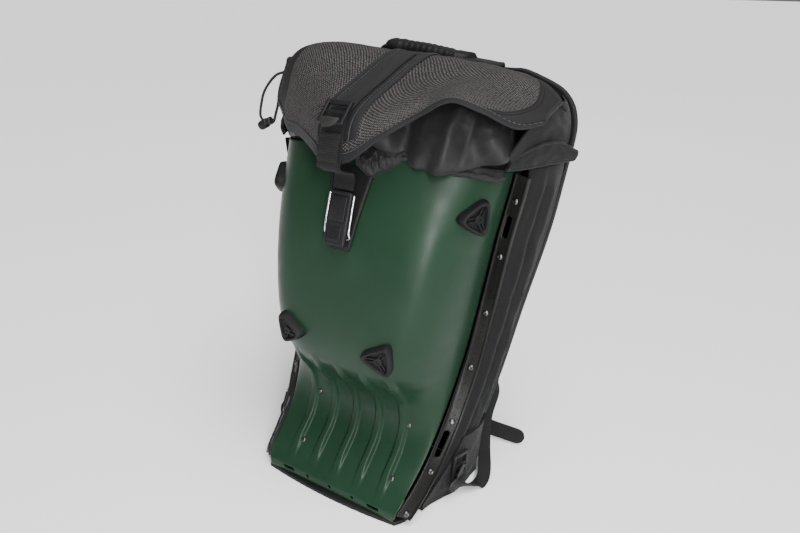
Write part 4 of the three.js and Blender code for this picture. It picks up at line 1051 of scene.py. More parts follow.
def lidMeshMaterial():
    # dark ground with a fine grid of light dots, which stop at the left strip and at the round right end
    look = {"ground": (0.011, 0.010, 0.0105), "dot": (0.112, 0.102, 0.100), "pitch": 0.0029,
            "left": 0.040, "turn": 0.292, "reach": (0.046, 0.093), "middle": 0.112}
    n = Nodes("lidMesh", look["ground"], 0.75)
    spot = n.place("UV", (1, 1, 1), math.radians(45))
    dots = n.add("ShaderNodeTexVoronoi", Scale=1 / look["pitch"], Randomness=0.22)
    n.join(spot, "Vector", dots, "Vector")
    dot = n.ramp(0.42, 0.22, 0, 1, dots, "Distance")
    source = n.add("ShaderNodeTexCoord")
    parts = n.add("ShaderNodeSeparateXYZ")
    n.join(source, "UV", parts, "Vector")
    left = n.ramp(look["left"], look["left"] + 0.001, 0, 1, parts, "X")
    past = n.sums("MAXIMUM", n.sums("SUBTRACT", parts, "X", value=look["turn"]), "Value", value=0.0)
    endX = n.sums("POWER", n.sums("DIVIDE", past, "Value", value=look["reach"][0]), "Value", value=2.0)
    away = n.sums("ABSOLUTE", n.sums("SUBTRACT", parts, "Y", value=look["middle"]), "Value")
    endY = n.sums("POWER", n.sums("DIVIDE", away, "Value", value=look["reach"][1]), "Value", value=2.0)
    started = n.ramp(0.0, 0.01, 0, 1, past, "Value")
    both = n.sums("ADD", endX, "Value", n.sums("MULTIPLY", endY, "Value", started, "Result"), "Value")
    right = n.ramp(1.0, 0.97, 0, 1, both, "Value")
    seamStart = n.ramp(look["left"] - 0.007, look["left"] - 0.006, 0, 1, parts, "X")
    seamEnd = n.ramp(look["left"], look["left"] - 0.001, 0, 1, parts, "X")
    leftSeam = n.sums("MULTIPLY", seamStart, "Result", seamEnd, "Result")
    roundStart = n.ramp(1.0, 1.06, 0, 1, both, "Value")
    roundEnd = n.ramp(1.2, 1.14, 0, 1, both, "Value")
    seam = n.sums("MULTIPLY", roundStart, "Result", roundEnd, "Result")
    inside = n.sums("MULTIPLY", left, "Result", right, "Result")
    shown = n.sums("MULTIPLY", dot, "Result", inside, "Value")
    soft = n.ramp(0.25, 0.75, 0.7, 1.0, n.noise(0.03, 4), "Fac")
    level = n.sums("MULTIPLY", shown, "Value", soft, "Result")
    tint = n.blend(look["ground"], look["dot"], level, "Value")
    n.join(tint, "Result", n.shader, "Base Color")
    n.set(n.shader, "Specular IOR Level", 0.2)
    ridges = n.sums("MAXIMUM", seam, "Value", leftSeam, "Value")
    n.relief(shown, "Value", 0.0004, n.relief(ridges, "Value", 0.0014))
    return n.material


lidMesh = lidMeshMaterial()
buildLid(lidMesh)


def buildHem():
    # tape folded over the lid's front edge
    us = evenly(180)
    vs = evenly(10)
    thick = lidLook["thick"]
    face = lidLook["hem"]

    def place(u, v, w):
        share = mix(-1, 1, u)
        away = abs(v * 2 - 1)
        along = 1 - face * away
        stand = 1.0 if w else 0.1
        lift = stand if v < 0.5 else -thick - stand
        point, out = lidAt(share, along, 0)
        swell = math.sqrt(max(1 - (1 - min(away * 4, 1)) ** 2, 0))
        point += out * mix(-thick / 2, lift, swell) * mm
        down = (spline(lidLine(share), 1) - spline(lidLine(share), 0.97)).normalized()
        return point + down * ((1 - swell) * (thick * 0.5 + (1.0 if w else 0.2)) * mm)

    hem = slab("lidHem", us, vs, place, bindingTape, (0.4, 0.014), sharp=55)
    return settle(hem, "cloth")


buildHem()


def buildEndBinding(side, label):
    # the left end's tape is rolled into a knob at its upper end
    line = [lidAt(side * 0.995, along, -lidLook["thick"] / 2)[0] for along in evenly(30, 0.3, 0.93)]
    line = evenLine(line, 120)
    settle(cordAlong(f"lidBinding_{label}", line, 5.4, (side, 0, 0.1), bindingTape, 0.017, 12), "cloth")
    if side < 0:
        bm = bmesh.new()
        bmesh.ops.create_uvsphere(bm, u_segments=24, v_segments=16, radius=5 * mm)
        bmesh.ops.scale(bm, vec=(0.9, 1.2, 1.35), verts=bm.verts)
        bmesh.ops.translate(bm, vec=line[0] + metres(1, 0, -2), verts=bm.verts)
        settle(newObject("lidKnob", bm, bindingTape, 60), "cloth")


for label, side in bothSides:
    buildEndBinding(side, label)

# Stitches: short threads that lie along a line on the cloth
stitchLook = {"pitch": 4.2, "long": 2.9, "wide": 0.55, "high": 0.5}
thread = mouldedPlastic("thread", (0.045, 0.045, 0.046), (0.07, 0.07, 0.072), 0.6)


def stitches(name, pointAt, slotName="cloth"):
    # pointAt gives a point and its outward direction for a share from 0 to 1
    length = lineLength([pointAt(t)[0] for t in evenly(60)])
    count = int(length / stitchLook["pitch"] / mm)
    places = []
    for i in range(count):
        point, out = pointAt((i + 0.5) / count)
        ahead, _ = pointAt((i + 0.9) / count)
        along = (ahead - point).normalized()
        places.append(basis(point + out * (stitchLook["high"] * 0.2 * mm), along, out))
    size = tuple(stitchLook[key] * mm for key in ("long", "wide", "high"))
    return settle(copies(name, lambda bm: block(bm, size), places, thread), slotName)


stitches("hemStitches", lambda t: lidAt(mix(-0.99, 0.99, t), 1 - lidLook["hem"] * 0.8, 1.05))

# Plain band along the middle of the lid
bandLook = {"share": 0.14, "thick": 1.2, "lift": 0.6, "from": 0.11, "to": 0.89, "edge": 0.03}


def bandPlace(u, v, w):
    share = mix(-bandLook["share"], bandLook["share"], u)
    edge = 1 - 0.5 * ease((abs(u - 0.5) - 0.46) / 0.04)
    lift = bandLook["lift"] + (bandLook["thick"] * edge if w else 0)
    return lidAt(share, mix(bandLook["from"], bandLook["to"], v), lift)[0]


band = slab("lidBand", evenly(30), evenly(60), bandPlace, bandCloth, (0.05, 0.17))
settle(band, "cloth", "lid_band")


def bandEdgePlace(side):
    def place(u, v, w):
        share = side * mix(bandLook["share"] - bandLook["edge"], bandLook["share"] + 0.006, u)
        crown = 1 - (2 * u - 1) ** 4
        lift = bandLook["lift"] + bandLook["thick"] * 0.4 + (1.4 * crown if w else 0)
        return lidAt(share, mix(bandLook["from"], bandLook["to"], v), lift)[0]
    return place


for label, side in bothSides:
    edging = slab(f"bandBinding_{label}", evenly(8), evenly(60), bandEdgePlace(side), bindingTape,
                  (0.005, 0.17), 60)
    settle(edging, "cloth")
    inner = bandLook["share"] - bandLook["edge"] - 0.012
    for row, share, lift in (("inner", inner, 1.9), ("outer", bandLook["share"] + 0.022, 0.3)):
        stitches(f"bandStitches_{label}_{row}",
                 lambda t: lidAt(side * share, mix(bandLook["from"], bandLook["to"], t), lift))
print("lid ready")

# Strap down the middle: along the lid, then hanging to the catch
strapLook = {"width": 25, "thick": 1.8, "from": 0.3, "onLid": 60, "free": 34, "bend": (46, 14)}
strapLift = bandLook["lift"] + bandLook["thick"] + 0.9
hookLevel = 0.83
hookLook = {"width": 26, "up": 27, "thick": 6.5, "lift": 7.2}
hookMiddle = shellFace(0.001, 0, hookLevel)
hookOut = shellOut(0.001, 0, hookLevel)
acrossX = Vector((1, 0, 0))
hookUp = hookOut.cross(acrossX)


def onHook(up, lift, across=0.0):
    return hookMiddle + hookUp * (up * mm) + hookOut * (lift * mm) + acrossX * (across * mm)


def buildStrap():
    hem = lidAt(0, 1, strapLift)[0]
    end = onHook(hookLook["up"] + 2, hookLook["lift"] + hookLook["thick"] * 0.5)
    hang = [hem, hem + metres(0, 2, -9), onHook(*strapLook["bend"]), end]
    steps = strapLook["onLid"] + strapLook["free"]
    width = strapLook["width"]

    def place(u, v, w):
        step = round(v * steps)
        edge = 0.35 * ease((abs(u - 0.5) - 0.44) / 0.06)
        rise = strapLook["thick"] * (w - (edge if w else -edge * 0.6))
        if step <= strapLook["onLid"]:
            along = mix(strapLook["from"], 1, step / strapLook["onLid"])
            return lidAt((u - 0.5) * width / lidLook["half"], along, strapLift + rise)[0]
        t = (step - strapLook["onLid"]) / strapLook["free"]
        tangent = (spline(hang, min(t + 0.01, 1)) - spline(hang, max(t - 0.01, 0))).normalized()
        out = tangent.cross(acrossX).normalized()
        return spline(hang, t) + acrossX * ((u - 0.5) * width * mm) + out * (rise * mm)

    us = [0, 0.03, 0.07, 0.15, 0.3, 0.5, 0.7, 0.85, 0.93, 0.97, 1]
    strap = slab("lidStrap", us, evenly(steps), place, strapWeb, (0.025, 0.24), sharp=60)
    return settle(strap, "webbing", "lid_strap")


buildStrap()

# Ladder lock, its thumb tab and the ribbed loose tail
lockLook = {"width": 31, "length": 27, "thick": 4.5, "bar": 5, "rib": 3.5}
lockAt = 0.76
lockSeat, lockOut = lidAt(0, lockAt, strapLift + strapLook["thick"] + 4.6)
lockPlace = basis(lockSeat, acrossX, lockOut)


def drawLock(bm, look):
    # a frame of two side bars and three cross bars
    w = look["width"] * mm
    l = look["length"] * mm
    t = look["thick"] * mm
    bar = look["bar"] * mm
    for side in (-1, 1):
        block(bm, (bar * 0.8, l, t), (side * (w - bar * 0.8) / 2, 0, 0), 0.9 * mm, 3)
    for at, wide in ((-1, bar), (0, look["rib"] * mm), (1, bar)):
        block(bm, (w - bar, wide, t * (0.8 if at else 0.62)), (0, at * (l - bar) / 2, 0), 0.9 * mm, 3)


lidLock = copies("ladderLock", lambda bm: drawLock(bm, lockLook), [lockPlace], buckleBlack)
settle(lidLock, "buckle", "lid_buckle")
thumbLook = {"half": 11, "thick": 1.8, "up": 5, "ridges": 3, "pitch": 2.4, "ridge": 0.8}


def drawThumb(bm):
    # a half disc with ridges for the thumb
    r = thumbLook["half"] * mm
    thick = thumbLook["thick"] * mm
    ridge = thumbLook["ridge"] * mm
    profile = [(0, 0), (r * 0.96, 0), (r, 0.35 * mm), (r, 1.3 * mm), (r * 0.93, thick), (0, thick)]
    fresh = turned(bm, profile, 48)
    low = (lockLook["thick"] / 2 + gap) * mm
    keep = thumbLook["up"] * mm - lockLook["length"] / 2 * mm
    bmesh.ops.translate(bm, vec=(0, keep, low), verts=fresh)
    geom = fresh + list(bm.edges) + list(bm.faces)
    bmesh.ops.bisect_plane(bm, geom=geom, plane_co=(0, keep, 0), plane_no=(0, 1, 0), clear_outer=True)
    bmesh.ops.holes_fill(bm, edges=openEdges(bm))
    for k in range(thumbLook["ridges"]):
        back = (2.5 + k * thumbLook["pitch"]) * mm
        block(bm, (r * (1.1 - k * 0.25), ridge, ridge), (0, keep - back, low + thick), 0.3 * mm)


settle(copies("thumbTab", drawThumb, [lockPlace], tabGrey), "tab", "buckle_tab")


def buildTail():
    lift = strapLift + strapLook["thick"]
    points = [lidAt(0, 0.85, lift + 2.4)[0], lidAt(0, 0.91, lift + 4)[0], lidAt(0, 0.96, lift + 5)[0],
              lidAt(0, 1, lift + 4.5)[0] + metres(0, 0, -8)]
    line = evenLine(points, 90)
    ribbed = []
    for i, point in enumerate(line):
        wave = 0.6 * math.sin(i / 90 * math.tau * 4.5)
        ribbed.append(point + lidAt(0, 0.9, 1)[1] * (wave * mm))
    section = tapeSection(strapLook["width"] * mm, strapLook["thick"] * mm)
    tail = sweep("strapTail", ribbed, section, lambda t: acrossX, strapWeb, 0.05)
    return settle(tail, "webbing", "strap_tail")


buildTail()

# Catch: rubber tab on the shell, moulded plate and bright wire hoop
tabLook = {"top": 27, "foot": 13, "up": 52, "down": 34, "thick": 3}


def tabPlace(u, v, w):
    up = mix(-tabLook["down"], tabLook["up"], v)
    half = mix(tabLook["foot"], tabLook["top"], v) * (1 - 0.12 * ease((0.06 - v) / 0.06))
    height = (hookMiddle.z / mm + up * 0.97) / shellHeight
    rim = max(ease((abs(u) - 0.88) / 0.12), ease((0.05 - v) / 0.05))
    lift = gap * 2 + (tabLook["thick"] * (1 - 0.45 * rim) if w else 0)
    return shellAt(u * half + 0.001, height, lift)


hookTab = slab("catchTab", closerToEnds(30), evenly(40), tabPlace, softRubber, (0.05, 0.09))
settle(hookTab, "rubber", "hook_tab")


# the plate's blocks, in millimetres: over is the middle's height over the plate's face
plateBlocks = table(
    "wide long tall across up over soften segments",
    (26, 57, 6.5, 0, -1.5, -3.25, 2.2, 4),
    (18.72, 26, 2.4, 0, 9, 0.4, 1.0, 3),
    (15.6, 15, 1.8, 0, -18, 0.2, 0.8, 3),
    (13, 1.0, 0.9, 0, -13.5, 1.3, 0.35, 2),
    (13, 1.0, 0.9, 0, -16.3, 1.3, 0.35, 2),
    (13, 1.0, 0.9, 0, -19.1, 1.3, 0.35, 2),
    (13, 1.0, 0.9, 0, -21.9, 1.3, 0.35, 2),
    (2.2, 46, 1.6, -10.8, 0, 0, 0.6, 2),
    (2.2, 46, 1.6, 10.8, 0, 0, 0.6, 2),
    (23.4, 4, 3, 0, 25, -1.3, 1.2, 3),
)


def drawPlate(bm):
    face = hookLook["lift"] + hookLook["thick"]
    for row in plateBlocks:
        size = metres(row["wide"], row["long"], row["tall"])
        centre = metres(row["across"], row["up"], face + row["over"])
        block(bm, size, centre, row["soften"] * mm, row["segments"])


hookPlace = basis(hookMiddle, acrossX, hookOut)
settle(copies("catchPlate", drawPlate, [hookPlace], buckleBlack), "buckle", "hook_plate")
wireLook = {"diameter": 2.4, "up": 24, "down": 20, "under": 5.6}


def wireLine():
    half = hookLook["width"] / 2 + wireLook["diameter"] / 2 + gap * 2
    lift = hookLook["lift"] + hookLook["thick"] * 0.6
    up = wireLook["up"]
    down = wireLook["down"]
    one = [(1, up, lift), (1, up * 0.3, lift), (1, -down * 0.7, lift - 1), (0.93, -down, wireLook["under"])]
    left = [onHook(u, l, -half * s) for s, u, l in one]
    right = [onHook(u, l, half * s) for s, u, l in reversed(one)]
    return left + [onHook(-down - 2, wireLook["under"])] + right


wire = cordAlong("catchWire", evenLine(wireLine(), 90), wireLook["diameter"], hookOut, brightWire, 1.0, 14)
settle(wire, "steel", "hook_wire")
print("strap and catch ready")

# Handle: webbing with a ribbed rubber grip
handleLook = {"half": 57, "foot": 82, "y": 0.95, "rise": 21, "bend": 0.62, "sag": 2, "width": 20,
              "thick": 4.4, "gripWide": 27, "gripTall": 15, "square": 2.6, "ribs": 15, "tilt": 7, "steps": 160}


def handleCurve():
    footY = yAt(backRows[-1]["back"]) + backLook["thick"] * 0.55
    points = []
    for share in (-1, -0.9, -0.62, -0.31, 0, 0.31, 0.62, 0.9, 1):
        reach = abs(share)
        drop = ease((reach - handleLook["bend"]) / (1 - handleLook["bend"]))
        sunk = reach * handleLook["sag"] + handleLook["tilt"] * (share + 0.8)
        crown = backHeight + handleLook["rise"] - sunk
        z = mix(crown, backHeight + gap * 4 + handleLook["thick"] / 2, drop)
        points.append(metres(share * handleLook["foot"], mix(yAt(handleLook["y"]), footY, drop), z))
    return points


handleLine = evenLine(handleCurve(), handleLook["steps"])
handleSection = tapeSection(handleLook["width"] * mm, handleLook["thick"] * mm)
handleTape = sweep("handleWebbing", handleLine, handleSection, lambda t: Vector((0, 1, 0)), strapWeb, 0.04)
settle(handleTape, "webbing", "handle_strap")


def buildGrip():
    span = handleLook["half"] / handleLook["foot"] * 0.95

    def place(u, v):
        turn = u * math.tau
        along = v * 2 - 1
        at = handleLine[round(clamp(0.5 + along * span / 2, 0, 1) * handleLook["steps"])]
        exact = Vector((along * handleLook["half"] * mm, at.y, at.z))
        wave = 0.5 - 0.5 * math.cos(v * math.tau * handleLook["ribs"])
        ribbed = 1.1 * wave ** 0.5 * ease((0.66 - abs(along)) * 12) + 0.9 * ease((abs(along) - 0.68) * 20)
        end = math.sqrt(max(1 - ease((abs(along) - 0.93) / 0.07) * 0.75, 0))
        square = handleLook["square"]
        reach = (abs(math.cos(turn)) ** square + abs(math.sin(turn)) ** square) ** (-1 / square)
        exact.y += math.cos(turn) * reach * (handleLook["gripWide"] / 2 * end + ribbed * 0.4) * mm
        exact.z += math.sin(turn) * reach * (handleLook["gripTall"] / 2 * end + ribbed) * mm
        return exact

    grip = tube("handleGrip", evenly(40), evenly(132), place, softRubber, (0.06, 0.12), 60)
    return settle(grip, "rubber", "handle_grip")


buildGrip()
print("handle ready")

# Pads on the wearer's side
padThick = 14
padRows = table(
    "name low high half waist",
    ("back_pad_upper", 0.50, 0.84, 0.52, 0.0),
    ("lumbar_pad", 0.07, 0.40, 0.60, 0.12),
)


def rearFace(share, height, out):
    return backFace(share, height, backLook["thick"] + out)


padCloth = wovenCloth("padCloth", (0.011, 0.011, 0.012), (0.05, 0.05, 0.052), 0.0026, 0.0007,
                      roughness=0.9, sheen=0.2)


def buildPad(row):
    name = row["name"]

    def place(u, v, w):
        end = abs(v - 0.5) * 2
        corner = 1 - 0.14 * ease((end - 0.8) / 0.2)
        share = u * row["half"] * corner * (1 - row["waist"] * v)
        rim = (1 - abs(u) ** 6) * (1 - end ** 8)
        crown = max(rim, 0) ** 0.42
        groove = 1 - 0.45 * (1 - ease(abs(u) / 0.22))
        channel = 1 - 0.22 * math.exp(-((end - 0.5) / 0.045) ** 2)
        middle = padThick * 0.32
        reach = crown * groove * channel
        lift = mix(middle, padThick, reach) if w else mix(middle, 0, min(crown * 1.6, 1))
        return rearFace(share, mix(row["low"], row["high"], v), gap * 2 + lift)

    pieceName = name.replace("_", "") + "Cushion"
    pad = pillow(pieceName, closerToEnds(70), evenly(70), place, padCloth, (0.17, 0.16))
    puff(pad, Vector((0, 1, 0)), 3)
    return settle(pad, "cloth", name)


for row in padRows:
    buildPad(row)

# Shoulder straps: rows, across of backHalf, height of backHeight, out in pad thicknesses
shoulderRows = table(
    "across height out",
    (0.30, 0.915, 0.62),
    (0.31, 0.875, 1.55),
    (0.37, 0.76, 2.35),
    (0.46, 0.60, 2.60),
    (0.57, 0.44, 2.45),
    (0.635, 0.31, 1.75),
    (0.68, 0.20, 1.10),
)
shoulderLook = {"width": 62, "thick": 11, "steps": 110}
wingLook = {"low": 2, "high": 78, "flare": 14, "thick": 4, "from": 0.2}
webLook = {"width": 16, "thick": 1.6}
adjusterLook = {"width": 24, "length": 34, "thick": 4, "bar": 4.5, "rib": 3.5}
beltLook = {"rise": 23, "thick": 2, "out": 99, "back": 60, "lift": 20, "length": 120, "steps": 60}
beltRows = table("out back", (0, 0), (0.28, 0.66), (0.56, 0.81), (1, 1))


def wingAt(side, u, v, out):
    level = mix(wingLook["low"], wingLook["high"], v)
    height = max((level + railLook["width"] * 0.55) / shellHeight, railLook["bottom"] * 1.2)
    spread = wingLook["flare"] * (1 - ease(v)) * ease(u * 1.5) + gap * 3
    point = gussetAt(side, height, mix(wingLook["from"], 0.97, u), spread + out)
    point.z = level * mm
    return point


def strapPath(side):
    points = []
    for row in shoulderRows:
        half = readRows(backRows, "height", "half", row["height"])
        points.append(rearFace(side * row["across"] / half, row["height"], row["out"] * padThick))
    return points


def buildShoulder(side, label):
    line = evenLine(strapPath(side), shoulderLook["steps"])
    count = shoulderLook["steps"]

    def place(u, v, w):
        i = round(v * count)
        along = (line[min(i + 1, count)] - line[max(i - 1, 0)]).normalized()
        across = Vector((1, -side * 0.9 * ease((v - 0.6) / 0.4), 0))
        across = (across - along * across.dot(along)).normalized()
        out = along.cross(across).normalized()
        width = shoulderLook["width"] * (1 - 0.45 * ease((v - 0.72) / 0.28))
        rim = max((1 - abs(u) ** 5) * (1 - abs(v * 2 - 1) ** 40), 0) ** 0.45
        lift = shoulderLook["thick"] / 2 * rim * (1 if w else -1)
        return line[i] + across * (u * width / 2 * mm) + out * (lift * mm)

    strap = pillow(f"shoulderStrap_{label}", closerToEnds(36), evenly(count), place, padCloth, (0.06, 0.42))
    puff(strap, Vector((0, 1, 0)), 1.5)
    settle(strap, "cloth", f"shoulder_strap_{label}")
    for edge in (-1, 1):
        rim = [place(edge * 0.985, v, 1).lerp(place(edge * 0.985, v, 0), 0.5) for v in evenly(count)]
        name = f"strapBinding_{label}_{'outer' if edge == side else 'inner'}"
        settle(cordAlong(name, evenLine(rim, 160), 4.2, (1, 0, 0), bindingTape, 0.013), "cloth")
    return line


def buildWing(side, label):
    def wingPlace(u, v, w):
        loose = math.sin(u * math.pi) * ease((1 - v) * 4)
        crease = wrinkle(Vector((u * 0.08, v * 0.05, side)), 0.02, 1.4, 5) * loose
        return wingAt(side, u, v, (wingLook["thick"] if w else 0) + crease)

    wing = slab(f"hipWing_{label}", evenly(40), evenly(36), wingPlace, packCloth, (0.08, 0.08), sharp=60)
    settle(wing, "cloth", f"hip_wing_{label}")


def buildWebbing(side, label, line):
    # the ladder lock on the wing, and the webbing from the strap's end over the floor into it
    seat = wingAt(side, 0.24, 0.55, wingLook["thick"])
    up = (wingAt(side, 0.24, 0.7, 0) - wingAt(side, 0.24, 0.35, 0)).normalized()
    along = (wingAt(side, 0.42, 0.55, 0) - wingAt(side, 0.08, 0.55, 0)) * side
    out = along.cross(up).normalized()
    centre = seat + out * ((adjusterLook["thick"] / 2 + 2.6) * mm)
    place = basis(centre, along, out)
    adjuster = copies(f"strapAdjuster_{label}", lambda bm: drawLock(bm, adjusterLook), [place], buckleBlack)
    settle(adjuster, "buckle", f"strap_adjuster_{label}")

    beside = backHalf * readRows(backRows, "height", "half", 0.16) + webLook["width"]
    half = adjusterLook["thick"] / 2

    def onLock(share, lift):
        return centre + up * (adjusterLook["length"] * share * mm) + out * (lift * mm)

    points = [
        line[-4],
        line[-1] + metres(side * 4, 2, -7),
        metres(side * (beside - 19), yAt(0.83), 66),
        metres(side * (beside - 18), yAt(0.80), 46),
        metres(side * (beside - 10), yAt(0.72), 26),
        metres(side * (beside + 1), yAt(0.62), 13),
        metres(side * (beside + 4), yAt(0.55), 5.5),
        metres(side * (beside - 1), yAt(0.49), 5),
        onLock(-0.72, half + 4),
        onLock(-0.35, half + 4),
        onLock(0.1, half + 3),
    ]

    def webSide(t):
        turn = ease((t - 0.66) / 0.25)
        return Vector((side * mix(0.9, 0, turn), mix(0.45, 1, turn), 0))

    section = tapeSection(webLook["width"] * mm, webLook["thick"] * mm)
    web = sweep(f"strapWebbing_{label}", evenLine(points, 120), section, webSide, strapWeb, 0.032)
    settle(web, "webbing", f"strap_webbing_{label}")


def buildBelt(side, label):
    root = rearFace(side * 0.56, 0.03, 4)
    level = beltLook["rise"] / 2 + gap
    steps = beltLook["steps"]
    points = []
    for row in beltRows:
        point = root + metres(side * row["out"] * beltLook["out"], row["back"] * beltLook["back"], 0)
        point.z = (level + beltLook["lift"] * (1 - ease(row["out"] * 1.05))) * mm
        points.append(point)
    beltLine = evenLine(points, steps)

    def beltPlace(u, v, w):
        # the tip is a half round
        i = round(v * steps)
        along = (beltLine[min(i + 1, steps)] - beltLine[max(i - 1, 0)]).normalized()
        left = (1 - v) * beltLook["length"]
        half = beltLook["rise"] / 2
        tip = math.sqrt(max(1 - (1 - min(left / half, 1)) ** 2, 0))
        out = along.cross(Vector((0, 0, 1))).normalized()
        rise = along.cross(out).normalized() * -1
        thick = (w - 0.5) * beltLook["thick"]
        return beltLine[i] + rise * ((u - 0.5) * 2 * half * tip * mm) + out * (thick * mm)

    end = slab(f"beltEnd_{label}", evenly(12), evenly(steps), beltPlace, strapWeb, (0.023, 0.12), sharp=60)
    settle(end, "webbing", f"hip_webbing_{label}")


for label, side in bothSides:
    strapLine = buildShoulder(side, label)
    buildWing(side, label)
    buildWebbing(side, label, strapLine)
    buildBelt(side, label)
print("pads and straps ready")

# Collar: nylon neck that leaves the shell's rim, swells over it and folds in under the lid
neckLook = {"half": 0.94, "spread": 0.2, "front": 0.365, "back": 0.985, "square": 3, "wall": 1.8,
            "slack": 0.25, "raise": 0.5, "rise": 60, "folds": 7}
neckRows = table(
    "at out up",
    (0.00, 0.00, -0.20),
    (0.20, 0.00, 0.06),
    (0.34, 0.30, 0.10),
    (0.52, 0.42, 0.30),
    (0.70, 0.30, 0.50),
    (0.86, 0.02, 0.66),
    (1.00, -0.36, 0.68),
)


# how far the hem drops below the rim and stands off it, in millimetres
sagRows = table(
    "around drop off",
    (0.70, 0, 0),
    (0.76, 0, 0),
    (0.79, 4, 2),
    (0.82, 12, 5),
    (0.85, 11, 5),
    (0.88, 2, 3),
    (0.91, -6, 1),
    (0.94, -10, 1),
    (0.97, -6, 0),
    (1.00, 0, 0),
)
# folds and hollows: lines from a high place to a low one, with their width and lift
foldRows = table(
    "topAround topAt lowAround lowAt wide lift",
    (0.868, 0.86, 0.841, 0.24, 0.0085, 9.5),
    (0.826, 0.62, 0.824, 0.26, 0.0085, 6.0),
    (0.800, 0.88, 0.848, 0.90, 0.0110, 5.0),
    (0.838, 0.74, 0.816, 0.66, 0.0180, -15.0),
    (0.851, 0.58, 0.835, 0.30, 0.0065, -7.0),
    (0.806, 0.50, 0.803, 0.30, 0.0090, -5.0),
    (0.893, 0.86, 0.858, 0.20, 0.0040, -2.2),
    (0.955, 0.80, 0.925, 0.34, 0.0120, 5.0),
    (0.975, 0.60, 0.950, 0.25, 0.0090, -4.0),
    (0.770, 0.70, 0.778, 0.28, 0.0110, 5.0),
)


def foldLift(around, at):
    # folds are measured in the cloth: a whole turn is as long as 12 times its height
    total = 0
    for row in foldRows:
        top = Vector((row["topAround"] * 12, row["topAt"], 0))
        low = Vector((row["lowAround"] * 12, row["lowAt"], 0))
        here = Vector((around * 12, at, 0))
        run = low - top
        t = clamp((here - top).dot(run) / run.dot(run), 0, 1)
        away = (here - top - run * t).length / (row["wide"] * 12)
        total += row["lift"] * math.exp(-away * away)
    return total


def neckAt(around, at, outward, creases=1.0):
    # around is a share of the whole turn from the right side, at runs from the rim to the folded-in edge
    turn = around * math.tau
    c = math.cos(turn)
    s = math.sin(turn)
    square = neckLook["square"]
    reach = (abs(c) ** square + abs(s) ** square) ** (-1 / square)
    middle = (neckLook["front"] + neckLook["back"]) / 2
    deep = (neckLook["back"] - neckLook["front"]) / 2 * packDepth
    front = clamp(-s, 0, 1)
    rightward = ease(c * reach * 1.5 + 0.4)
    sideSwell = 0.35 * ease(c * reach * 2 - 1)
    swell = mix(ease(front * 1.6), 1, sideSwell) * mix(neckLook["slack"], 1, rightward) * neckLook["rise"]
    crease = 1 + 0.35 * math.sin(turn * neckLook["folds"] * 2 + at * 4) * ease(at * 2) * ease(front * 2)
    wide = shellHalf * neckLook["half"] * (1 + neckLook["spread"] * ease(s * reach + 0.2))
    normal = Vector((c / wide, s / deep, 0)).normalized()
    rim = shellHeight * (1 - shellLook["rimDrop"] * clamp(abs(c) * reach, 0, 1) ** 2)
    raised = 1 + neckLook["raise"] * rightward * ease(at * 2 - 0.6)
    up = readRows(neckRows, "at", "up", at) * neckLook["rise"] * raised
    hanging = ease((at - 0.08) * 9) * ease((0.62 - at) * 3.2) if around > sagRows[0]["around"] else 0
    drop = readRows(sagRows, "around", "drop", around) * hanging
    point = metres(c * reach * wide, s * reach * deep + yAt(middle), rim + up - drop)
    loose = ease((at - 0.12) * 5) * ease(front * 3) * creases
    fold = wrinkle(Vector((around * 0.9, at * 0.05, 0.3)), 0.030, 3.4, 2) + wrinkle(point, 0.016, 1.7, 9)
    lifted = (fold + foldLift(around, at)) * loose + readRows(sagRows, "around", "off", around) * hanging
    out = readRows(neckRows, "at", "out", at) * swell * crease + lifted
    return point + normal * ((out + outward) * mm)


def buildCollar():
    collar = sheetOf("neckCollar", evenly(360), evenly(64), lambda u, v: neckAt(u, v, 0), crumpledNylon,
                     neckLook["wall"] * mm, (0.75, 0.09), offset=0.0)
    applyAll(collar)
    return settle(collar, "nylon", "collar")


buildCollar()
hemLine = [neckAt(t, 0.22, 1.6, 0.3) for t in evenly(60, 0.52, 0.985)]
for row, lift in (("upper", 1.6), ("lower", -1.6)):
    line = [point + metres(0, 0, lift) for point in evenLine(hemLine, 200)]
    settle(cordAlong(f"collarPiping_{row}", line, 2.6, (0, 0, 1), bindingTape, 0.009), "nylon")

# Nylon over the shell's rim in front: x, how deep it hangs and how far it bunches, in millimetres
skirtRows = table(
    "x depth bunch",
    (4, 20, 7),
    (22, 26, 10),
    (35, 20, 9),
    (45, 13, 6),
    (55, 6, 3),
    (66, 7, 2),
    (77, 9, 2),
    (96, 9, 2),
    (120, 10, 3),
    (131, 12, 3),
    (138, 9, 2),
)


def skirtPlace(u, v):
    x = mix(skirtRows[0]["x"], skirtRows[-1]["x"], u)
    depth = readRows(skirtRows, "x", "depth", x)
    bunch = readRows(skirtRows, "x", "bunch", x)
    fullness = math.sin(clamp(v * 1.04, 0, 1) * math.pi) ** 0.6
    crumple = wrinkle(Vector((x * 1.6 * mm, v * depth * mm, 0.1)), 0.011, bunch * 0.55, 21) * fullness
    edge = wrinkle(Vector((x * mm, 0.2, 0.4)), 0.012, 2.0, 5)
    height = 1 - (depth * v + edge * v) / shellHeight
    lift = 1.6 + bunch * fullness + crumple + (2.5 * v if bunch < 4 else 0)
    point = shellAt(x, clamp(height, 0, 1), lift)
    point.z += (1 - ease(v * 3)) * 4 * mm
    return point


skirt = sheetOf("collarSkirt", evenly(200), evenly(36), skirtPlace, crumpledNylon, 1.0 * mm, (0.16, 0.03))
applyAll(skirt)
settle(skirt, "nylon")

# Piped ends of the collar: rows along them, as shares of shellHalf, packDepth and shellHeight
flapRows = table(
    "along across back low high",
    (0.0, 1.055, 0.47, 0.975, 0.998),
    (0.35, 1.15, 0.58, 0.975, 1.022),
    (0.7, 1.24, 0.77, 0.974, 1.026),
    (1.0, 1.32, 0.94, 0.970, 0.992),
)


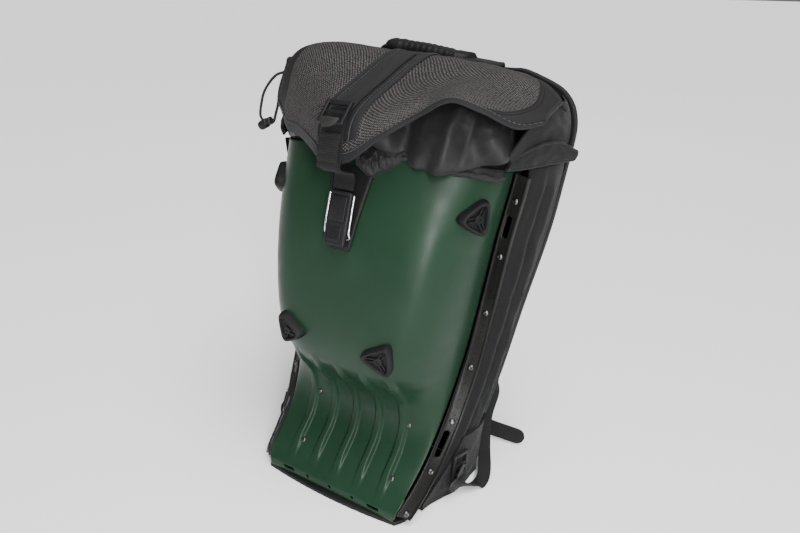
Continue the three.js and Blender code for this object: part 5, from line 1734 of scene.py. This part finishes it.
def flapAt(side, u, v, w):
    row = {key: readRows(flapRows, "along", key, u) for key in ("across", "back", "low", "high")}
    level = mix(row["low"], row["high"], v) * shellHeight
    spread = 1 if side > 0 else 0.93
    bow = 1.5 * math.sin(v * math.pi) + wrinkle(Vector((u * 0.1, v * 0.03, side)), 0.02, 1.2, 4)
    out = row["across"] * shellHalf * spread + v * 3 + bow - w * 2.4
    return metres(side * out, yAt(row["back"]) + w * 0.96, level)


for label, side in bothSides:
    flap = slab(f"collarEnd_{label}", evenly(60), evenly(16), lambda u, v, w: flapAt(side, u, v, 1 - w),
                packCloth, (0.11, 0.02), 60)
    settle(flap, "nylon", f"collar_wing_{label}")
    edge = [flapAt(side, u, 1, 0.5) for u in evenly(40)] + [flapAt(side, 1, v, 0.5) for v in (0.6, 0.2)]
    edge += [flapAt(side, u, 0, 0.5) for u in evenly(40, 1, 0)]
    edge = evenLine(edge, 160)
    settle(cordAlong(f"collarEndPiping_{label}", edge, 3.6, (side, 0, 0.1), bindingTape, 0.011), "nylon")

# Cloth beside the lid: rows from the collar's end upwards, along the lid's end and up the back's edge
sideRows = table(
    "level along back",
    (0.0, 0.98, 0.835),
    (0.35, 0.72, 0.875),
    (0.7, 0.40, 0.915),
    (1.0, 0.06, 0.955),
)


def sidePanelAt(side, u, v, w):
    # cloth from the lid's end back to the panel's edge, down to the collar's end
    row = {key: readRows(sideRows, "level", key, v) for key in ("along", "back")}
    lidEnd = lidAt(side * 0.97, row["along"], -4)[0]
    around = 0.928 if side > 0 else 0.572
    start = neckAt(around, 0.44, -1).lerp(lidEnd, ease(v * 2.2))
    edge = backFace(side * 0.975, row["back"], -0.5)
    point = start.lerp(edge, u)
    crease = wrinkle(Vector((u * 0.04, v * 0.07, side)), 0.018, 2.2, 6) * math.sin(u * math.pi)
    point.x += side * (crease + 3 * math.sin(u * math.pi) + (0.8 if w else -0.8)) * mm
    return point


for label, side in bothSides:
    panel = slab(f"lidSide_{label}", evenly(26), evenly(40), lambda u, v, w: sidePanelAt(side, u, v, w),
                 packCloth, (0.04, 0.08), 60)
    settle(panel, "nylon")
print("collar ready")

# Elastic loop at the lid's left end with its lock
cordDiameter = 3.4
cordStart = lidAt(-1, 0.42, 0)[0]
cordPoints = [cordStart + metres(*p) for p in (
    (-3, 0, -6), (-12, -3, -9.5), (-20, -7, -18), (-27.5, -11, -31), (-30.4, -14, -45), (-31, -16.5, -58),
    (-28.8, -16, -64.8), (-23.1, -15.5, -68.9), (-15.9, -15, -68.9), (-10.2, -14.5, -64.8), (-8, -14, -58),
    (-7.2, -9.5, -46), (-7, -6, -34))]
cordLine = evenLine(cordPoints, 160)
braid = wovenCloth("cordBraid", (0.010, 0.010, 0.011), (0.05, 0.05, 0.052), 0.0012, 0.0003, roughness=0.6)
cord = cordAlong("elasticCord", cordLine, cordDiameter, (0, 1, 0.2), braid, 0.0107, 14)
settle(cord, "webbing", "cord_loop")

# the lock's outline, as radius and height in millimetres
cordLockProfile = [(0, -11), (3.72, -11), (5.52, -9.8), (6, -8), (6, 1.8), (5.4, 2.8), (4.2, 3.6),
                   (4.08, 5.6), (4.8, 6.4), (4.8, 10), (3.6, 11), (0, 11)]


def drawCordLock(bm):
    turned(bm, [(r * mm, z * mm) for r, z in cordLockProfile], 28)


lockTurn = Matrix.Rotation(-0.5, 4, "Y") @ Matrix.Rotation(math.pi / 2, 4, "Y")
cordLock = copies("cordLock", drawCordLock, [Matrix.Translation(cordPoints[7]) @ lockTurn], buckleBlack)
settle(cordLock, "buckle", "cord_lock")
lineLength(cordLine)
print("cord ready")

# Floor and light: a pale floor, an even world, a wide sun and three panels
stageLook = {"floorHalf": 600, "floorTint": 0.93, "world": 0.17, "aim": (0, 0, 0.25)}
panelRows = table(
    "name at energy wide tall",
    ("frontPanel", (1.1, -2.0, 0.9), 8, 2.0, 1.4),
    ("creaseStrip", (1.0, -1.07, 0.76), 28, 0.2, 1.1),
    ("backPanel", (-0.9, 2.3, 1.3), 3, 1.6, 1.2),
)


def addLight(kind, name, at, energy, look):
    data = bpy.data.lights.new(name, kind)
    data.energy = energy
    for key, value in look.items():
        setattr(data, key, value)
    light = bpy.data.objects.new(name, data)
    light.location = at
    towards = Vector(stageLook["aim"]) - Vector(at)
    light.rotation_euler = towards.to_track_quat("-Z", "Y").to_euler()
    bpy.context.collection.objects.link(light)


def buildStage():
    bm = bmesh.new()
    bmesh.ops.create_grid(bm, x_segments=1, y_segments=1, size=stageLook["floorHalf"])
    floor = newObject("floor", bm, Nodes("paleFloor", [stageLook["floorTint"]] * 3, 0.7).material)
    world = bpy.context.scene.world or bpy.data.worlds.new("world")
    bpy.context.scene.world = world
    world.use_nodes = True
    background = world.node_tree.nodes["Background"]
    background.inputs["Color"].default_value = (1, 1, 1, 1)
    background.inputs["Strength"].default_value = stageLook["world"]
    addLight("SUN", "skyLight", (0.8, -0.5, 2.6), 4.7, {"angle": math.radians(50)})
    for row in panelRows:
        size = {"shape": "RECTANGLE", "size": row["wide"], "size_y": row["tall"]}
        addLight("AREA", row["name"], row["at"], row["energy"], size)


buildStage()
print("scene ready")
